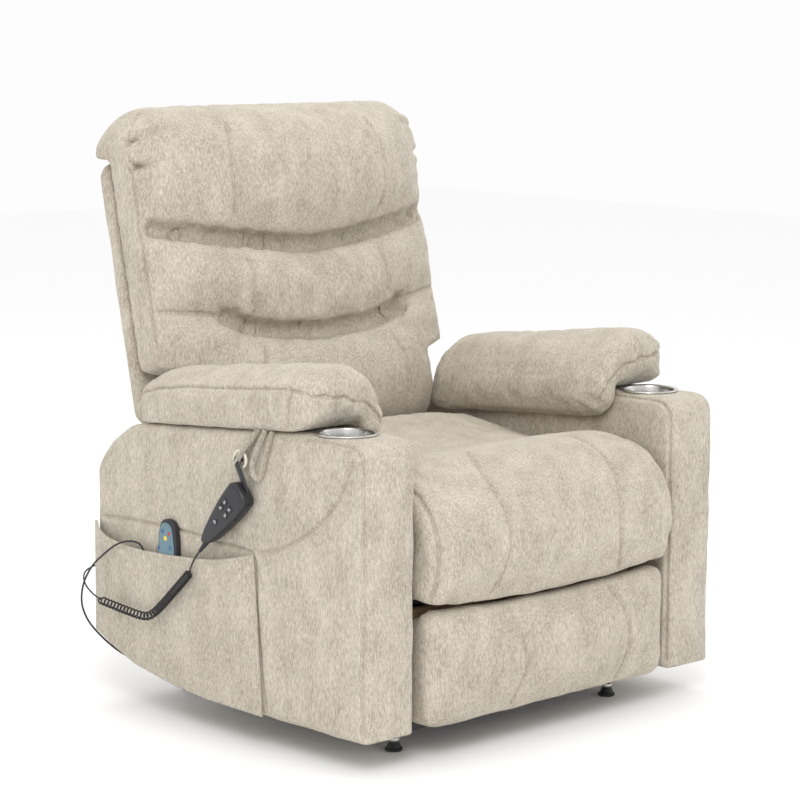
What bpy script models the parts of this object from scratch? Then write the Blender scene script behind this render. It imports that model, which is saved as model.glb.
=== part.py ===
"""Power lift recliner chair: floor base, lift linkage, footrest linkage, reclining back, handset."""

import math

import bmesh
import bpy
from mathutils import Matrix, Vector

# ---- Driving dimensions, metres. The chair faces -Y; x = 0 is its middle plane. ----
CHAIR_SHIFT = (0.01035, -0.0485)  # puts the origin at the bottom centre of the bounding box
GAP = 0.0003  # between pieces that touch
WIDTH = 0.857
ARM_WIDTH = 0.120
ARM_FRONT = -0.336
ARM_REAR = 0.3525
ARM_TOP = 0.544
ARM_REAR_TOP = 0.5185
ARM_SLOPE_Y = (-0.175, 0.150)  # where the top falls from ARM_TOP to ARM_REAR_TOP
ARM_BOTTOM = 0.0563
ARM_WALL = 0.014
ARM_OUTER = WIDTH / 2
ARM_INNER = ARM_OUTER - ARM_WIDTH

# Floor base
RAIL_X = 0.264
RAIL_WIDTH = 0.030
RAIL_BOTTOM = 0.030
RAIL_TOP = 0.055
RAIL_WALL = 0.003
SUPPLY_X = (-0.190, -0.050)
SUPPLY_Y = (-0.2435, -0.130)
SUPPLY_TALL = 0.048
SUPPLY_INLET_X = (-0.147, -0.121)
BASE_FRONT = -0.250
BASE_REAR = 0.310
FOOT_Y = (-0.237, 0.296)
FOOT_RADIUS = 0.015

# Link planes, measured outwards from the middle plane
LINK_THICK = 0.005
LAYER = 0.0065
EAR_X = 0.2495
REAR_LINK_X = EAR_X - LAYER
FRONT_LINK_X = REAR_LINK_X - LAYER
CARRIAGE_X = FRONT_LINK_X - 0.008
CARRIER_X = CARRIAGE_X - LAYER
SWING_X = CARRIER_X - LAYER
INNER_LINK_X = SWING_X - LAYER
LINK_HALF = 0.011
PIN = 0.0050
HOLE = 0.0054
SEGMENTS = 16

# Pivots at rest, (y, z)
LIFT_FRONT_BASE = (-0.042, 0.071)
LIFT_FRONT_TOP = (0.2175, 0.101)
LIFT_REAR_BASE = (-0.0195, 0.085)
LIFT_REAR_TOP = (0.278, 0.1265)
LIFT_TUBE = (0.170, 0.128)
LIFT_CRANK = 0.045
LIFT_CRANK_ANGLE = math.radians(59)
LIFT_MOTOR = (0.285, 0.080)
SWING_FRONT = (-0.088, 0.262)
SWING_REAR = (0.056, 0.262)
CARRIER_FRONT = (-0.002, 0.140)
CARRIER_REAR = (CARRIER_FRONT[0] + SWING_REAR[0] - SWING_FRONT[0], CARRIER_FRONT[1])
BOARD_PIVOT = (-0.242, 0.234)
BOARD_LINK_REAR = (-0.005, 0.095)
BOARD_LINK_FRONT = (-0.2525, 0.184)
BOARD_LINK_HALF = 0.0085
BACK_PIVOT = (0.245, 0.300)
BACK_LINK_FRONT = (0.0519, 0.2272)
BACK_LINK_REAR = (0.1682, 0.2204)
BACK_CRANK = 0.070
BACK_CRANK_ANGLE = math.radians(-67)
CRANK_BEND = (0.274, 0.300)
BACK_MOTOR = (-0.165, 0.200)
BOARD_LINK_SLACK = 0.0020
BACK_LINK_SLACK = 0.0034
LIFT_ROD_SLACK = 0.0050
BACK_ROD_SLACK = 0.0045
MOTOR_X = 0.058
MOTOR_RADIUS = 0.019
ROD_RADIUS = 0.008

# Carriage tubes, seat frame
CROSS = 0.025
CROSS_FRONT = (-0.195, 0.272)
CROSS_REAR = (0.3135, 0.1625)
SEAT_RAIL_X = (0.240, 0.285)
SEAT_RAIL_Z = (0.2848, 0.3165)
SEAT_FRAME_Y = (-0.300, 0.190)
DECK_THICK = 0.004
SEAT_HALF = 0.298

# Footrest
BOARD_Y = (-0.275, -0.2625)
BOARD_Z = (0.070, 0.245)
BOARD_HALF = 0.270
PAD_Z = (0.0565, 0.250)
PAD_HALF = 0.292
PAD_DEPTH = 0.060

# Back
BACK_LEAN = math.radians(12.7)
BACK_REF = (0.370, 0.500)  # on the rear face of the outer back
BACK_PANEL = 0.040
BACK_FRAME = 0.018
BACK_HALF = 0.345
BACK_LOWER_HALF = 0.258
VALANCE_HALF = 0.296
VALANCE_Z = (0.098, 0.245)

# Cup holders
CUP_Y = -0.2325
CUP_X = ARM_OUTER - ARM_WIDTH / 2
CUP_FLANGE = 0.052
CUP_WELL = 0.045
CUP_WALL = 0.0012
CUP_DEPTH = 0.070

# Arm pads
PAD_FRONT = -0.200
PAD_REAR = 0.230
PAD_CROWN = 0.105

# Handset, ring, remote and cords on the left arm, (y, z) in the plane of the arm's side
HANDSET_TIP = (0.025, 0.339)
HANDSET_TOP = (-0.0725, 0.440)
HANDSET_WIDTH = 0.050
HANDSET_THICK = 0.028
HANDSET_FACE = -0.462
RING_AT = (-0.052, 0.487)
RING_RADIUS = 0.0145
RING_WIRE = 0.0025
BUTTON = 0.010
BUTTON_TRAVEL = 0.001
COIL_RADIUS = 0.008
CORD_RADIUS = 0.002
MASSAGE_CORD_RADIUS = 0.0018
POCKET_FACE = -0.448
HANDSET_LEAD = [(-0.4475, 0.0445, 0.3195), (-0.4520, 0.052, 0.307), (-0.4550, 0.057, 0.295), (-0.4575, 0.0595, 0.2832)]
COIL_ROUTE = [(-0.4575, 0.0602, 0.2805), (-0.458, 0.085, 0.257), (-0.459, 0.125, 0.220), (-0.459, 0.155, 0.196),
              (-0.459, 0.180, 0.186), (-0.459, 0.225, 0.187), (-0.458, 0.270, 0.190), (-0.4575, 0.309, 0.193)]
HANDSET_TAIL = [(-0.4574, 0.3105, 0.1932), (-0.457, 0.326, 0.199), (-0.456, 0.345, 0.208), (-0.450, 0.363, 0.218),
                (-0.437, 0.377, 0.228), (-0.418, 0.382, 0.234), (-0.404, 0.377, 0.237), (-0.400, 0.3665, 0.238)]
MASSAGE_ROUTE = [(-0.4395, 0.196, 0.262), (-0.4400, 0.203, 0.288), (-0.4440, 0.2125, 0.3055), (-0.4530, 0.230, 0.3085),
                 (-0.4595, 0.255, 0.300),
                 (-0.463, 0.285, 0.280), (-0.464, 0.320, 0.252), (-0.462, 0.348, 0.216), (-0.456, 0.362, 0.178),
                 (-0.446, 0.358, 0.146), (-0.432, 0.342, 0.120), (-0.414, 0.322, 0.096), (-0.399, 0.302, 0.082),
                 (-0.390, 0.286, 0.0815), (-0.386, 0.2785, 0.0865)]
HANDSET_GLAND = (-0.400, 0.238)  # (x, z) on the rear of the left arm
MASSAGE_GLAND = (-0.3845, 0.2755, 0.0905)
MASSAGE_GLAND_TILT = math.radians(25)

CHAIR = None
FABRIC = (0.55, 0.49, 0.40, 1.0)


# ---- Building blocks ----

def clear_scene():
    for ob in list(bpy.data.objects):
        bpy.data.objects.remove(ob, do_unlink=True)


def material(name, color, roughness=0.6, metallic=0.0):
    mat = bpy.data.materials.new(name)
    mat.use_nodes = True
    shader = mat.node_tree.nodes["Principled BSDF"]
    shader.inputs["Base Color"].default_value = color
    shader.inputs["Roughness"].default_value = roughness
    shader.inputs["Metallic"].default_value = metallic
    return mat


def steel(name, shade=0.05):
    return material(name, (shade, shade, shade * 1.1, 1.0), 0.4, 0.8)


def fabric(name):
    return material(name, FABRIC, 0.95)


def plastic(name, color=(0.02, 0.02, 0.022, 1.0)):
    return material(name, color, 0.45)


def wood(name):
    return material(name, (0.45, 0.30, 0.17, 1.0), 0.7)


def finish(name, bm, mat, smooth=None, origin=(0.0, 0.0, 0.0)):
    """Makes the named object from bm, with its origin at a point of the chair's own frame."""
    bmesh.ops.recalc_face_normals(bm, faces=bm.faces)
    bmesh.ops.translate(bm, verts=bm.verts, vec=-Vector(origin))
    mesh = bpy.data.meshes.new(name)
    bm.to_mesh(mesh)
    bm.free()
    if smooth is not None:
        mesh.shade_smooth()
        mesh.set_sharp_from_angle(angle=math.radians(smooth))
    mesh.materials.append(mat)
    ob = bpy.data.objects.new(name, mesh)
    bpy.context.scene.collection.objects.link(ob)
    ob.parent = CHAIR
    ob.location = origin
    return ob


def combine(ob, other, operation):
    """A live exact Boolean on ob, with the other shape hidden as a cutter."""
    other.hide_render = True
    other.display_type = "WIRE"
    step = ob.modifiers.new(operation.lower(), "BOOLEAN")
    step.operation = operation
    step.solver = "EXACT"
    step.use_self = True
    step.object = other
    return ob


def helper(bm):
    """A hidden shape for Booleans, in the chair's frame."""
    return finish("helper", bm, bpy.data.materials["helper"])


def add_box(bm, low, high):
    size = [h - l for l, h in zip(low, high)]
    middle = [(h + l) / 2 for l, h in zip(low, high)]
    placed = Matrix.Translation(middle) @ Matrix.Diagonal((*size, 1.0))
    return bmesh.ops.create_cube(bm, size=1.0, matrix=placed)["verts"]


def add_rod(bm, start, end, radius, end_radius=None, segments=SEGMENTS):
    """A round bar or cone between two points."""
    start, end = Vector(start), Vector(end)
    run = end - start
    turn = run.to_track_quat("Z", "Y").to_matrix().to_4x4()
    placed = Matrix.Translation((start + end) / 2) @ turn
    last = radius if end_radius is None else end_radius
    made = bmesh.ops.create_cone(bm, cap_ends=True, segments=segments, radius1=radius,
                                 radius2=last, depth=run.length, matrix=placed)
    return made["verts"]


def circle(centre, radius, segments=SEGMENTS):
    turns = [2 * math.pi * i / segments for i in range(segments)]
    return [(centre[0] + radius * math.cos(t), centre[1] + radius * math.sin(t)) for t in turns]


def bar_outline(points, half):
    """The outline of a bent flat bar with round ends along the given points."""
    points = [Vector(p) for p in points]
    side = []
    for way in (points, points[::-1]):
        for i, point in enumerate(way[:-1]):
            ahead = (way[i + 1] - point).normalized()
            left = Vector((-ahead.y, ahead.x))
            if i == 0:
                start = math.atan2(-left.y, -left.x)
                steps = SEGMENTS // 2
                side += [point + half * Vector((math.cos(start - math.pi * k / steps),
                                                math.sin(start - math.pi * k / steps)))
                         for k in range(steps + 1)]
            else:
                before = (point - way[i - 1]).normalized()
                middle = (left + Vector((-before.y, before.x))).normalized()
                side.append(point + middle * half / middle.dot(left))
    return [tuple(p) for p in side]


def hull_outline(rounds):
    """The outline stretched round several circles, each (centre, radius)."""
    points = sorted(p for centre, radius in rounds for p in circle(centre, radius))
    chains = []
    for way in (points, points[::-1]):
        chain = []
        for p in way:
            while len(chain) > 1 and turn_of(chain[-2], chain[-1], p) <= 1e-12:
                chain.pop()
            chain.append(p)
        chains += chain[:-1]
    return chains


def turn_of(a, b, c):
    return (b[0] - a[0]) * (c[1] - a[1]) - (b[1] - a[1]) * (c[0] - a[0])


def add_plate(bm, outline, x_from, x_to, holes=()):
    """A flat plate square to X, with its outline and round holes given as (y, z) points."""
    edges = []
    for loop in [outline, *[circle(centre, radius) for centre, radius in holes]]:
        verts = [bm.verts.new((x_from, y, z)) for y, z in loop]
        edges += [bm.edges.new((verts[i - 1], verts[i])) for i in range(len(verts))]
    made = bmesh.ops.triangle_fill(bm, use_beauty=True, use_dissolve=False, edges=edges)
    faces = [f for f in made["geom"] if isinstance(f, bmesh.types.BMFace)]
    grown = bmesh.ops.extrude_face_region(bm, geom=faces)
    verts = [v for v in grown["geom"] if isinstance(v, bmesh.types.BMVert)]
    bmesh.ops.translate(bm, verts=verts, vec=(x_to - x_from, 0, 0))


def add_section(bm, outline, y_from, y_to):
    """A bar along Y whose section is a list of (x, z) points."""
    face = bm.faces.new([bm.verts.new((x, y_from, z)) for x, z in outline])
    grown = bmesh.ops.extrude_face_region(bm, geom=[face])
    verts = [v for v in grown["geom"] if isinstance(v, bmesh.types.BMVert)]
    bmesh.ops.translate(bm, verts=verts, vec=(0, y_to - y_from, 0))


def add_loft(bm, sections):
    """A closed body through sections, each a list of the same number of 3-D points."""
    loops = []
    for section in sections:
        verts = [bm.verts.new(p) for p in section]
        loops.append([bm.edges.new((verts[i - 1], verts[i])) for i in range(len(verts))])
    for first, second in zip(loops, loops[1:]):
        bmesh.ops.bridge_loops(bm, edges=first + second)
    for end in (loops[0], loops[-1]):
        bmesh.ops.contextual_create(bm, geom=end)


def add_turned(bm, profile, steps):
    """A body turned round the Z axis from (radius, z) points that start and end on the axis."""
    verts = [bm.verts.new((r, 0.0, z)) for r, z in profile]
    edges = [bm.edges.new((verts[i], verts[i + 1])) for i in range(len(verts) - 1)]
    bmesh.ops.spin(bm, geom=verts + edges, cent=(0, 0, 0), axis=(0, 0, 1), angle=2 * math.pi, steps=steps,
                   use_merge=True)
    bmesh.ops.remove_doubles(bm, verts=bm.verts, dist=1e-5)


def side(sign, low, high):
    """The x range of a layer on one side of the chair."""
    return (sign * low, sign * high)


def link(name, sign, layer, points, holes, pins=(), half=LINK_HALF, mat=None, origin=None):
    """A flat link. holes are (centre, radius); pins are (centre, x from, x to), away from the middle."""
    bm = bmesh.new()
    outline = points if len(points) > 4 else bar_outline(points, half)
    add_plate(bm, outline, *side(sign, layer, layer - LINK_THICK), holes)
    first = origin or points[0]
    ob = finish(name, bm, mat or steel(name), origin=(0.0, *first))
    if pins:
        bm = bmesh.new()
        for centre, low, high in pins:
            add_rod(bm, (sign * low, *centre), (sign * high, *centre), PIN)
        combine(ob, helper(bm), "UNION")
    return ob


def mix(a, b, share):
    return tuple(p + (q - p) * share for p, q in zip(a, b))


def polar(centre, radius, angle):
    return (centre[0] + radius * math.cos(angle), centre[1] + radius * math.sin(angle))


# ---- Floor base ----

def channel(x_from, x_to):
    """The section of a steel channel, open below."""
    wall = RAIL_WALL if x_to > x_from else -RAIL_WALL
    return [(x_from, RAIL_BOTTOM), (x_from, RAIL_TOP), (x_to, RAIL_TOP), (x_to, RAIL_BOTTOM),
            (x_to - wall, RAIL_BOTTOM), (x_to - wall, RAIL_TOP - RAIL_WALL),
            (x_from + wall, RAIL_TOP - RAIL_WALL), (x_from + wall, RAIL_BOTTOM)]


def base_frame():
    inner = RAIL_X - RAIL_WIDTH / 2
    outer = RAIL_X + RAIL_WIDTH / 2
    bm = bmesh.new()
    add_section(bm, channel(-outer, -inner), BASE_FRONT, BASE_REAR)
    ob = finish("base_frame", bm, steel("base_frame"))
    bm = bmesh.new()
    add_section(bm, channel(inner, outer), BASE_FRONT, BASE_REAR)
    combine(ob, helper(bm), "UNION")
    bm = bmesh.new()
    half = CROSS / 2
    for y in FOOT_Y:
        add_plate(bm, channel(y - half, y + half), -inner - RAIL_WALL / 2, inner + RAIL_WALL / 2)
    combine(ob, helper(bm), "UNION")
    bm = bmesh.new()
    for sign in (-1, 1):
        ear = hull_outline([(LIFT_FRONT_BASE, LINK_HALF), (LIFT_REAR_BASE, LINK_HALF),
                            ((-0.075, 0.0545), 0.001), ((0.02, 0.0545), 0.001)])
        add_plate(bm, ear, *side(sign, EAR_X, EAR_X + LINK_THICK))
        add_rod(bm, (sign * (EAR_X + 0.001), *LIFT_REAR_BASE),
                (sign * (REAR_LINK_X - LINK_THICK - 0.0005), *LIFT_REAR_BASE), PIN)
        add_rod(bm, (sign * (EAR_X + 0.001), *LIFT_FRONT_BASE),
                (sign * (FRONT_LINK_X - LINK_THICK - 0.0005), *LIFT_FRONT_BASE), PIN)
    ear = hull_outline([(LIFT_MOTOR, LINK_HALF), ((LIFT_MOTOR[0] - 0.01, 0.0545), 0.001),
                        ((LIFT_MOTOR[0] + 0.02, 0.0545), 0.001)])
    add_plate(bm, ear, MOTOR_X + 0.012, MOTOR_X + 0.017)
    add_rod(bm, (MOTOR_X + 0.013, *LIFT_MOTOR), (MOTOR_X - 0.010, *LIFT_MOTOR), PIN)
    combine(ob, helper(bm), "UNION")


def feet():
    """Screw-in glides: a broad pad, a flared neck and a stem up into the rail."""
    profile = [(0.0, 0.0), (FOOT_RADIUS - 0.001, 0.0), (FOOT_RADIUS, 0.001), (FOOT_RADIUS, 0.005),
               (FOOT_RADIUS * 0.85, 0.006), (FOOT_RADIUS * 0.6, 0.014), (FOOT_RADIUS * 0.6, 0.018),
               (FOOT_RADIUS * 0.45, 0.018), (FOOT_RADIUS * 0.45, RAIL_TOP - RAIL_WALL - GAP),
               (0.0, RAIL_TOP - RAIL_WALL - GAP)]
    for sign, across in ((-1, "left"), (1, "right")):
        for y, along in zip(FOOT_Y, ("front", "rear")):
            name = f"glide_foot_{along}_{across}"
            bm = bmesh.new()
            add_turned(bm, profile, 20)
            bmesh.ops.translate(bm, verts=bm.verts, vec=(sign * RAIL_X, y, 0))
            finish(name, bm, plastic(name), 30, origin=(sign * RAIL_X, y, 0.0))


def power_supply():
    """Transformer box on the base rails, inboard of the links that dip beside it."""
    front, rear = SUPPLY_Y
    bm = bmesh.new()
    verts = add_box(bm, (SUPPLY_X[0], front, RAIL_TOP + GAP), (SUPPLY_X[1], rear, RAIL_TOP + SUPPLY_TALL))
    edges = list({e for v in verts for e in v.link_edges})
    bmesh.ops.bevel(bm, geom=edges, offset=0.004, segments=2, profile=0.5, affect="EDGES", material=-1)
    ob = finish("power_supply", bm, plastic("power_supply"))
    near, far = SUPPLY_INLET_X
    bm = bmesh.new()
    add_box(bm, (near, rear - 0.012, RAIL_TOP + 0.014), (far, rear + 0.010, RAIL_TOP + 0.034))
    combine(ob, helper(bm), "DIFFERENCE")


# ---- Lift linkage ----

def lift_links():
    for sign, across in ((-1, "left"), (1, "right")):
        link(f"lift_link_rear_{across}", sign, REAR_LINK_X, [LIFT_REAR_BASE, LIFT_REAR_TOP],
             [(LIFT_REAR_BASE, HOLE), (LIFT_REAR_TOP, HOLE + 0.0006)])
    crank = polar(LIFT_FRONT_BASE, LIFT_CRANK, LIFT_CRANK_ANGLE)
    bm = bmesh.new()
    for sign in (-1, 1):
        outline = hull_outline([(point, LINK_HALF) for point in (LIFT_FRONT_BASE, LIFT_FRONT_TOP, LIFT_TUBE)])
        add_plate(bm, outline, *side(sign, FRONT_LINK_X, FRONT_LINK_X - LINK_THICK),
                  [(LIFT_FRONT_BASE, HOLE), (LIFT_FRONT_TOP, HOLE)])
    ob = finish("lift_front_yoke", bm, steel("lift_front_yoke"), origin=(0.0, *LIFT_FRONT_BASE))
    bm = bmesh.new()
    reach = FRONT_LINK_X - LINK_THICK / 2
    add_rod(bm, (-reach, *LIFT_TUBE), (reach, *LIFT_TUBE), 0.009)
    combine(ob, helper(bm), "UNION")
    bm = bmesh.new()
    add_plate(bm, bar_outline([LIFT_TUBE, crank], 0.010), MOTOR_X + 0.022, MOTOR_X + 0.028)
    combine(ob, helper(bm), "UNION")
    bm = bmesh.new()
    add_rod(bm, (MOTOR_X + 0.024, *crank), (MOTOR_X - 0.010, *crank), PIN)
    combine(ob, helper(bm), "UNION")
    return crank


def actuator(name, x, rear, front, slack, stroke_room):
    """A motor housing pivoted at its tail, with a rod whose eye goes round a crank's pin."""
    tail, tip = Vector((x, *rear)), Vector((x, *front))
    run = tip - tail
    ahead = run.normalized()
    eye = PIN + slack + 0.0005
    body = run.length - stroke_room
    bm = bmesh.new()
    add_rod(bm, tail + ahead * 0.024, tail + ahead * body, MOTOR_RADIUS, None, 20)
    ob = finish(f"{name}_housing", bm, plastic(f"{name}_housing"), 30, origin=tail)
    bm = bmesh.new()
    outline = bar_outline([rear, tuple((tail + ahead * 0.032))[1:]], LINK_HALF)
    add_plate(bm, outline, x - 0.007, x + 0.007)
    combine(ob, helper(bm), "UNION")
    bm = bmesh.new()
    drop = Vector((0, 0, -1)) if ahead.z >= -0.5 else Vector((0, 0, 1))
    start = tail + ahead * 0.060
    add_rod(bm, start, start + drop * 0.0 + Vector((math.copysign(0.075, x) * -1, 0, 0)), 0.020, None, 20)
    combine(ob, helper(bm), "UNION")
    bm = bmesh.new()
    add_rod(bm, (x - 0.02, *rear), (x + 0.02, *rear), HOLE)
    add_rod(bm, tail + ahead * (body - 0.155), tail + ahead * (body + 0.02), ROD_RADIUS + 0.0004)
    combine(ob, helper(bm), "DIFFERENCE")
    bm = bmesh.new()
    add_rod(bm, tail + ahead * (body - 0.085), tip - ahead * (eye + 0.002), ROD_RADIUS)
    rod = finish(f"{name}_rod", bm, steel(f"{name}_rod", 0.5), 30, origin=tail)
    bm = bmesh.new()
    add_rod(bm, (x - 0.006, *front), (x + 0.006, *front), eye + 0.005)
    combine(rod, helper(bm), "UNION")
    bm = bmesh.new()
    add_rod(bm, (x - 0.02, *front), (x + 0.02, *front), eye)
    combine(rod, helper(bm), "DIFFERENCE")


# ---- Carriage ----

def carriage():
    """Side plates with the pivots' pins, joined by two cross tubes that carry the arms."""
    low, high = CARRIAGE_X - LINK_THICK, CARRIAGE_X
    outline = [(-0.212, 0.236), (-0.212, 0.266), (-0.160, 0.266), (-0.152, 0.2835), (0.205, 0.2835),
               (0.222, 0.316), (0.232, 0.322), (0.262, 0.322), (0.3050, 0.290), (0.3050, 0.125),
               (0.296, 0.110), (0.240, 0.088), (0.222, 0.085), (0.204, 0.087), (0.190, 0.110),
               (0.176, 0.200), (0.150, 0.236)]
    bm = bmesh.new()
    add_plate(bm, outline, low, high)
    ob = finish("lift_carriage", bm, steel("lift_carriage"))
    bm = bmesh.new()
    add_plate(bm, outline, -low, -high)
    combine(ob, helper(bm), "UNION")
    bm = bmesh.new()
    for y, z in (CROSS_FRONT, CROSS_REAR):
        reach = ARM_INNER - GAP
        half = CROSS / 2
        add_box(bm, (-reach, y - half, z - half), (reach, y + half, z + half))
    combine(ob, helper(bm), "UNION")
    bm = bmesh.new()
    for y, z in (CROSS_FRONT, CROSS_REAR):
        half = CROSS / 2 - 0.0025
        add_box(bm, (-0.32, y - half, z - half), (0.32, y + half, z + half))
    combine(ob, helper(bm), "DIFFERENCE")
    bm = bmesh.new()
    middle = (low + high) / 2
    for sign in (-1, 1):
        for point, far in ((LIFT_FRONT_TOP, FRONT_LINK_X + 0.0005), (LIFT_REAR_TOP, REAR_LINK_X + 0.0005),
                           (SWING_FRONT, SWING_X - LINK_THICK - 0.0002), (SWING_REAR, SWING_X - LINK_THICK - 0.0005),
                           (BACK_PIVOT, SWING_X - LINK_THICK - 0.0005)):
            add_rod(bm, (sign * middle, *point), (sign * far, *point), PIN)
    combine(ob, helper(bm), "UNION")
    bm = bmesh.new()
    ear = bar_outline([(CROSS_FRONT[0] + 0.006, CROSS_FRONT[1] - 0.010), BACK_MOTOR], LINK_HALF)
    add_plate(bm, ear, -MOTOR_X - 0.017, -MOTOR_X - 0.012)
    combine(ob, helper(bm), "UNION")
    bm = bmesh.new()
    add_rod(bm, (-MOTOR_X - 0.014, *BACK_MOTOR), (-MOTOR_X + 0.010, *BACK_MOTOR), PIN)
    combine(ob, helper(bm), "UNION")


def seat_frame():
    """A timber frame under the seat: two long rails and a front rail, with the sprung deck on top."""
    near, far = SEAT_RAIL_X
    low, high = SEAT_RAIL_Z
    front, rear = SEAT_FRAME_Y
    bm = bmesh.new()
    add_box(bm, (-far, front, low + 0.0005), (far, front + 0.038, high))
    ob = finish("seat_frame", bm, wood("seat_frame"))
    bm = bmesh.new()
    for sign in (-1, 1):
        xs = sorted((sign * near, sign * far))
        add_box(bm, (xs[0], front + 0.030, low + 0.0005), (xs[1], rear, high))
    combine(ob, helper(bm), "UNION")
    bm = bmesh.new()
    add_box(bm, (-far, front, high + GAP), (far, rear, high + GAP + DECK_THICK))
    finish("seat_spring_deck", bm, steel("seat_spring_deck", 0.1))


def smooth_box(name, low, high, inset, mat):
    """A soft block: a box whose edges are rounded."""
    bm = bmesh.new()
    verts = add_box(bm, low, high)
    edges = list({e for v in verts for e in v.link_edges})
    bmesh.ops.bevel(bm, geom=edges, offset=inset, segments=3, profile=0.5, affect="EDGES", material=-1)
    return finish(name, bm, mat, 60)


def seat_cushion():
    """The seat and its front roll, one upholstered piece, lofted across the chair."""
    bottom = SEAT_RAIL_Z[1] + DECK_THICK + 3 * GAP
    profile = [(0.188, bottom), (0.194, 0.400), (0.186, 0.462), (0.150, 0.477), (0.060, 0.468), (-0.040, 0.459),
               (-0.120, 0.463), (-0.200, 0.474), (-0.270, 0.472), (-0.325, 0.450), (-0.362, 0.405),
               (-0.376, 0.350), (-0.368, 0.298), (-0.345, 0.264), (-0.318, 0.2565), (-0.3035, 0.262),
               (-0.3035, bottom)]
    sections = []
    for x, pull in ((-1, 0.034), (-0.87, 0.010), (0.0, -0.003), (0.87, 0.010), (1, 0.034)):
        section = []
        for y, z in profile:
            inside = 1 if z > bottom + 0.02 or y < -0.31 else 0
            toward = (Vector((-0.12, 0.37)) - Vector((y, z))).normalized()
            moved = Vector((y, z)) + toward * pull * inside if inside else Vector((y, z))
            section.append((x * SEAT_HALF, moved.x, max(moved.y, 0.2565)))
        sections.append(section)
    bm = bmesh.new()
    add_loft(bm, sections)
    finish("seat_cushion", bm, fabric("seat_cushion"), 50)


# ---- Arms ----

def arm_outline(inset):
    """The side outline of an arm, moved in by inset."""
    front, rear = ARM_FRONT + inset, ARM_REAR - inset
    top, bottom = ARM_TOP - inset, ARM_BOTTOM + inset
    points = [(front, bottom)]
    corner = 0.036
    for k in range(5):
        turn = math.radians(180 - 22.5 * k)
        points.append(polar((front + corner, top - corner), corner, turn))
    points += [(ARM_SLOPE_Y[0], top), (ARM_SLOPE_Y[1], ARM_REAR_TOP - inset), (0.215, ARM_REAR_TOP - 0.005 - inset),
               (0.262 - inset * 0.3, 0.503 - inset), (0.312 - inset * 0.7, 0.472 - inset),
               (0.338 - inset, 0.445 - inset * 0.6), (rear, 0.4226 - inset * 0.4), (rear, 0.1293 + inset * 0.3),
               (0.299 - inset * 0.5, 0.105 + inset), (0.238, 0.084 + inset), (0.131, 0.066 + inset),
               (0.047, 0.059 + inset)]
    return points


def arm(sign, across):
    name = f"arm_{across}"
    bm = bmesh.new()
    add_plate(bm, arm_outline(0.0), *side(sign, ARM_INNER, ARM_OUTER))
    ob = finish(name, bm, fabric(name), 40)
    bm = bmesh.new()
    hollow = arm_outline(ARM_WALL)
    add_plate(bm, hollow, *side(sign, ARM_INNER + ARM_WALL, ARM_OUTER - ARM_WALL))
    combine(ob, helper(bm), "DIFFERENCE")
    bm = bmesh.new()
    xs = sorted(side(sign, ARM_INNER + ARM_WALL, ARM_OUTER - ARM_WALL))
    add_box(bm, (xs[0], ARM_FRONT + ARM_WALL, 0.040), (xs[1], 0.040, 0.090))
    add_rod(bm, (sign * CUP_X, CUP_Y, ARM_TOP - 0.030), (sign * CUP_X, CUP_Y, ARM_TOP + 0.010),
            CUP_WELL + GAP, None, 32)
    combine(ob, helper(bm), "DIFFERENCE")


def cup_holder(sign, across):
    """A pressed steel cup with a rolled flange, turned round its axis."""
    name = f"cup_holder_{across}"
    top = ARM_TOP + GAP
    inner = CUP_WELL - CUP_WALL
    profile = [(0.0, top - CUP_DEPTH), (CUP_WELL - 0.006, top - CUP_DEPTH), (CUP_WELL - 0.001, top - CUP_DEPTH + 0.006),
               (CUP_WELL, top), (CUP_FLANGE - 0.001, top), (CUP_FLANGE, top + 0.0012), (CUP_FLANGE - 0.001, top + 0.0024),
               (CUP_WELL + 0.001, top + 0.0024), (inner, top - 0.001), (inner - 0.001, top - CUP_DEPTH + 0.007),
               (CUP_WELL - 0.007, top - CUP_DEPTH + CUP_WALL), (0.0, top - CUP_DEPTH + CUP_WALL)]
    bm = bmesh.new()
    add_turned(bm, profile, 32)
    bmesh.ops.translate(bm, verts=bm.verts, vec=(sign * CUP_X, CUP_Y, 0))
    finish(name, bm, steel(name, 0.6), 30)


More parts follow.
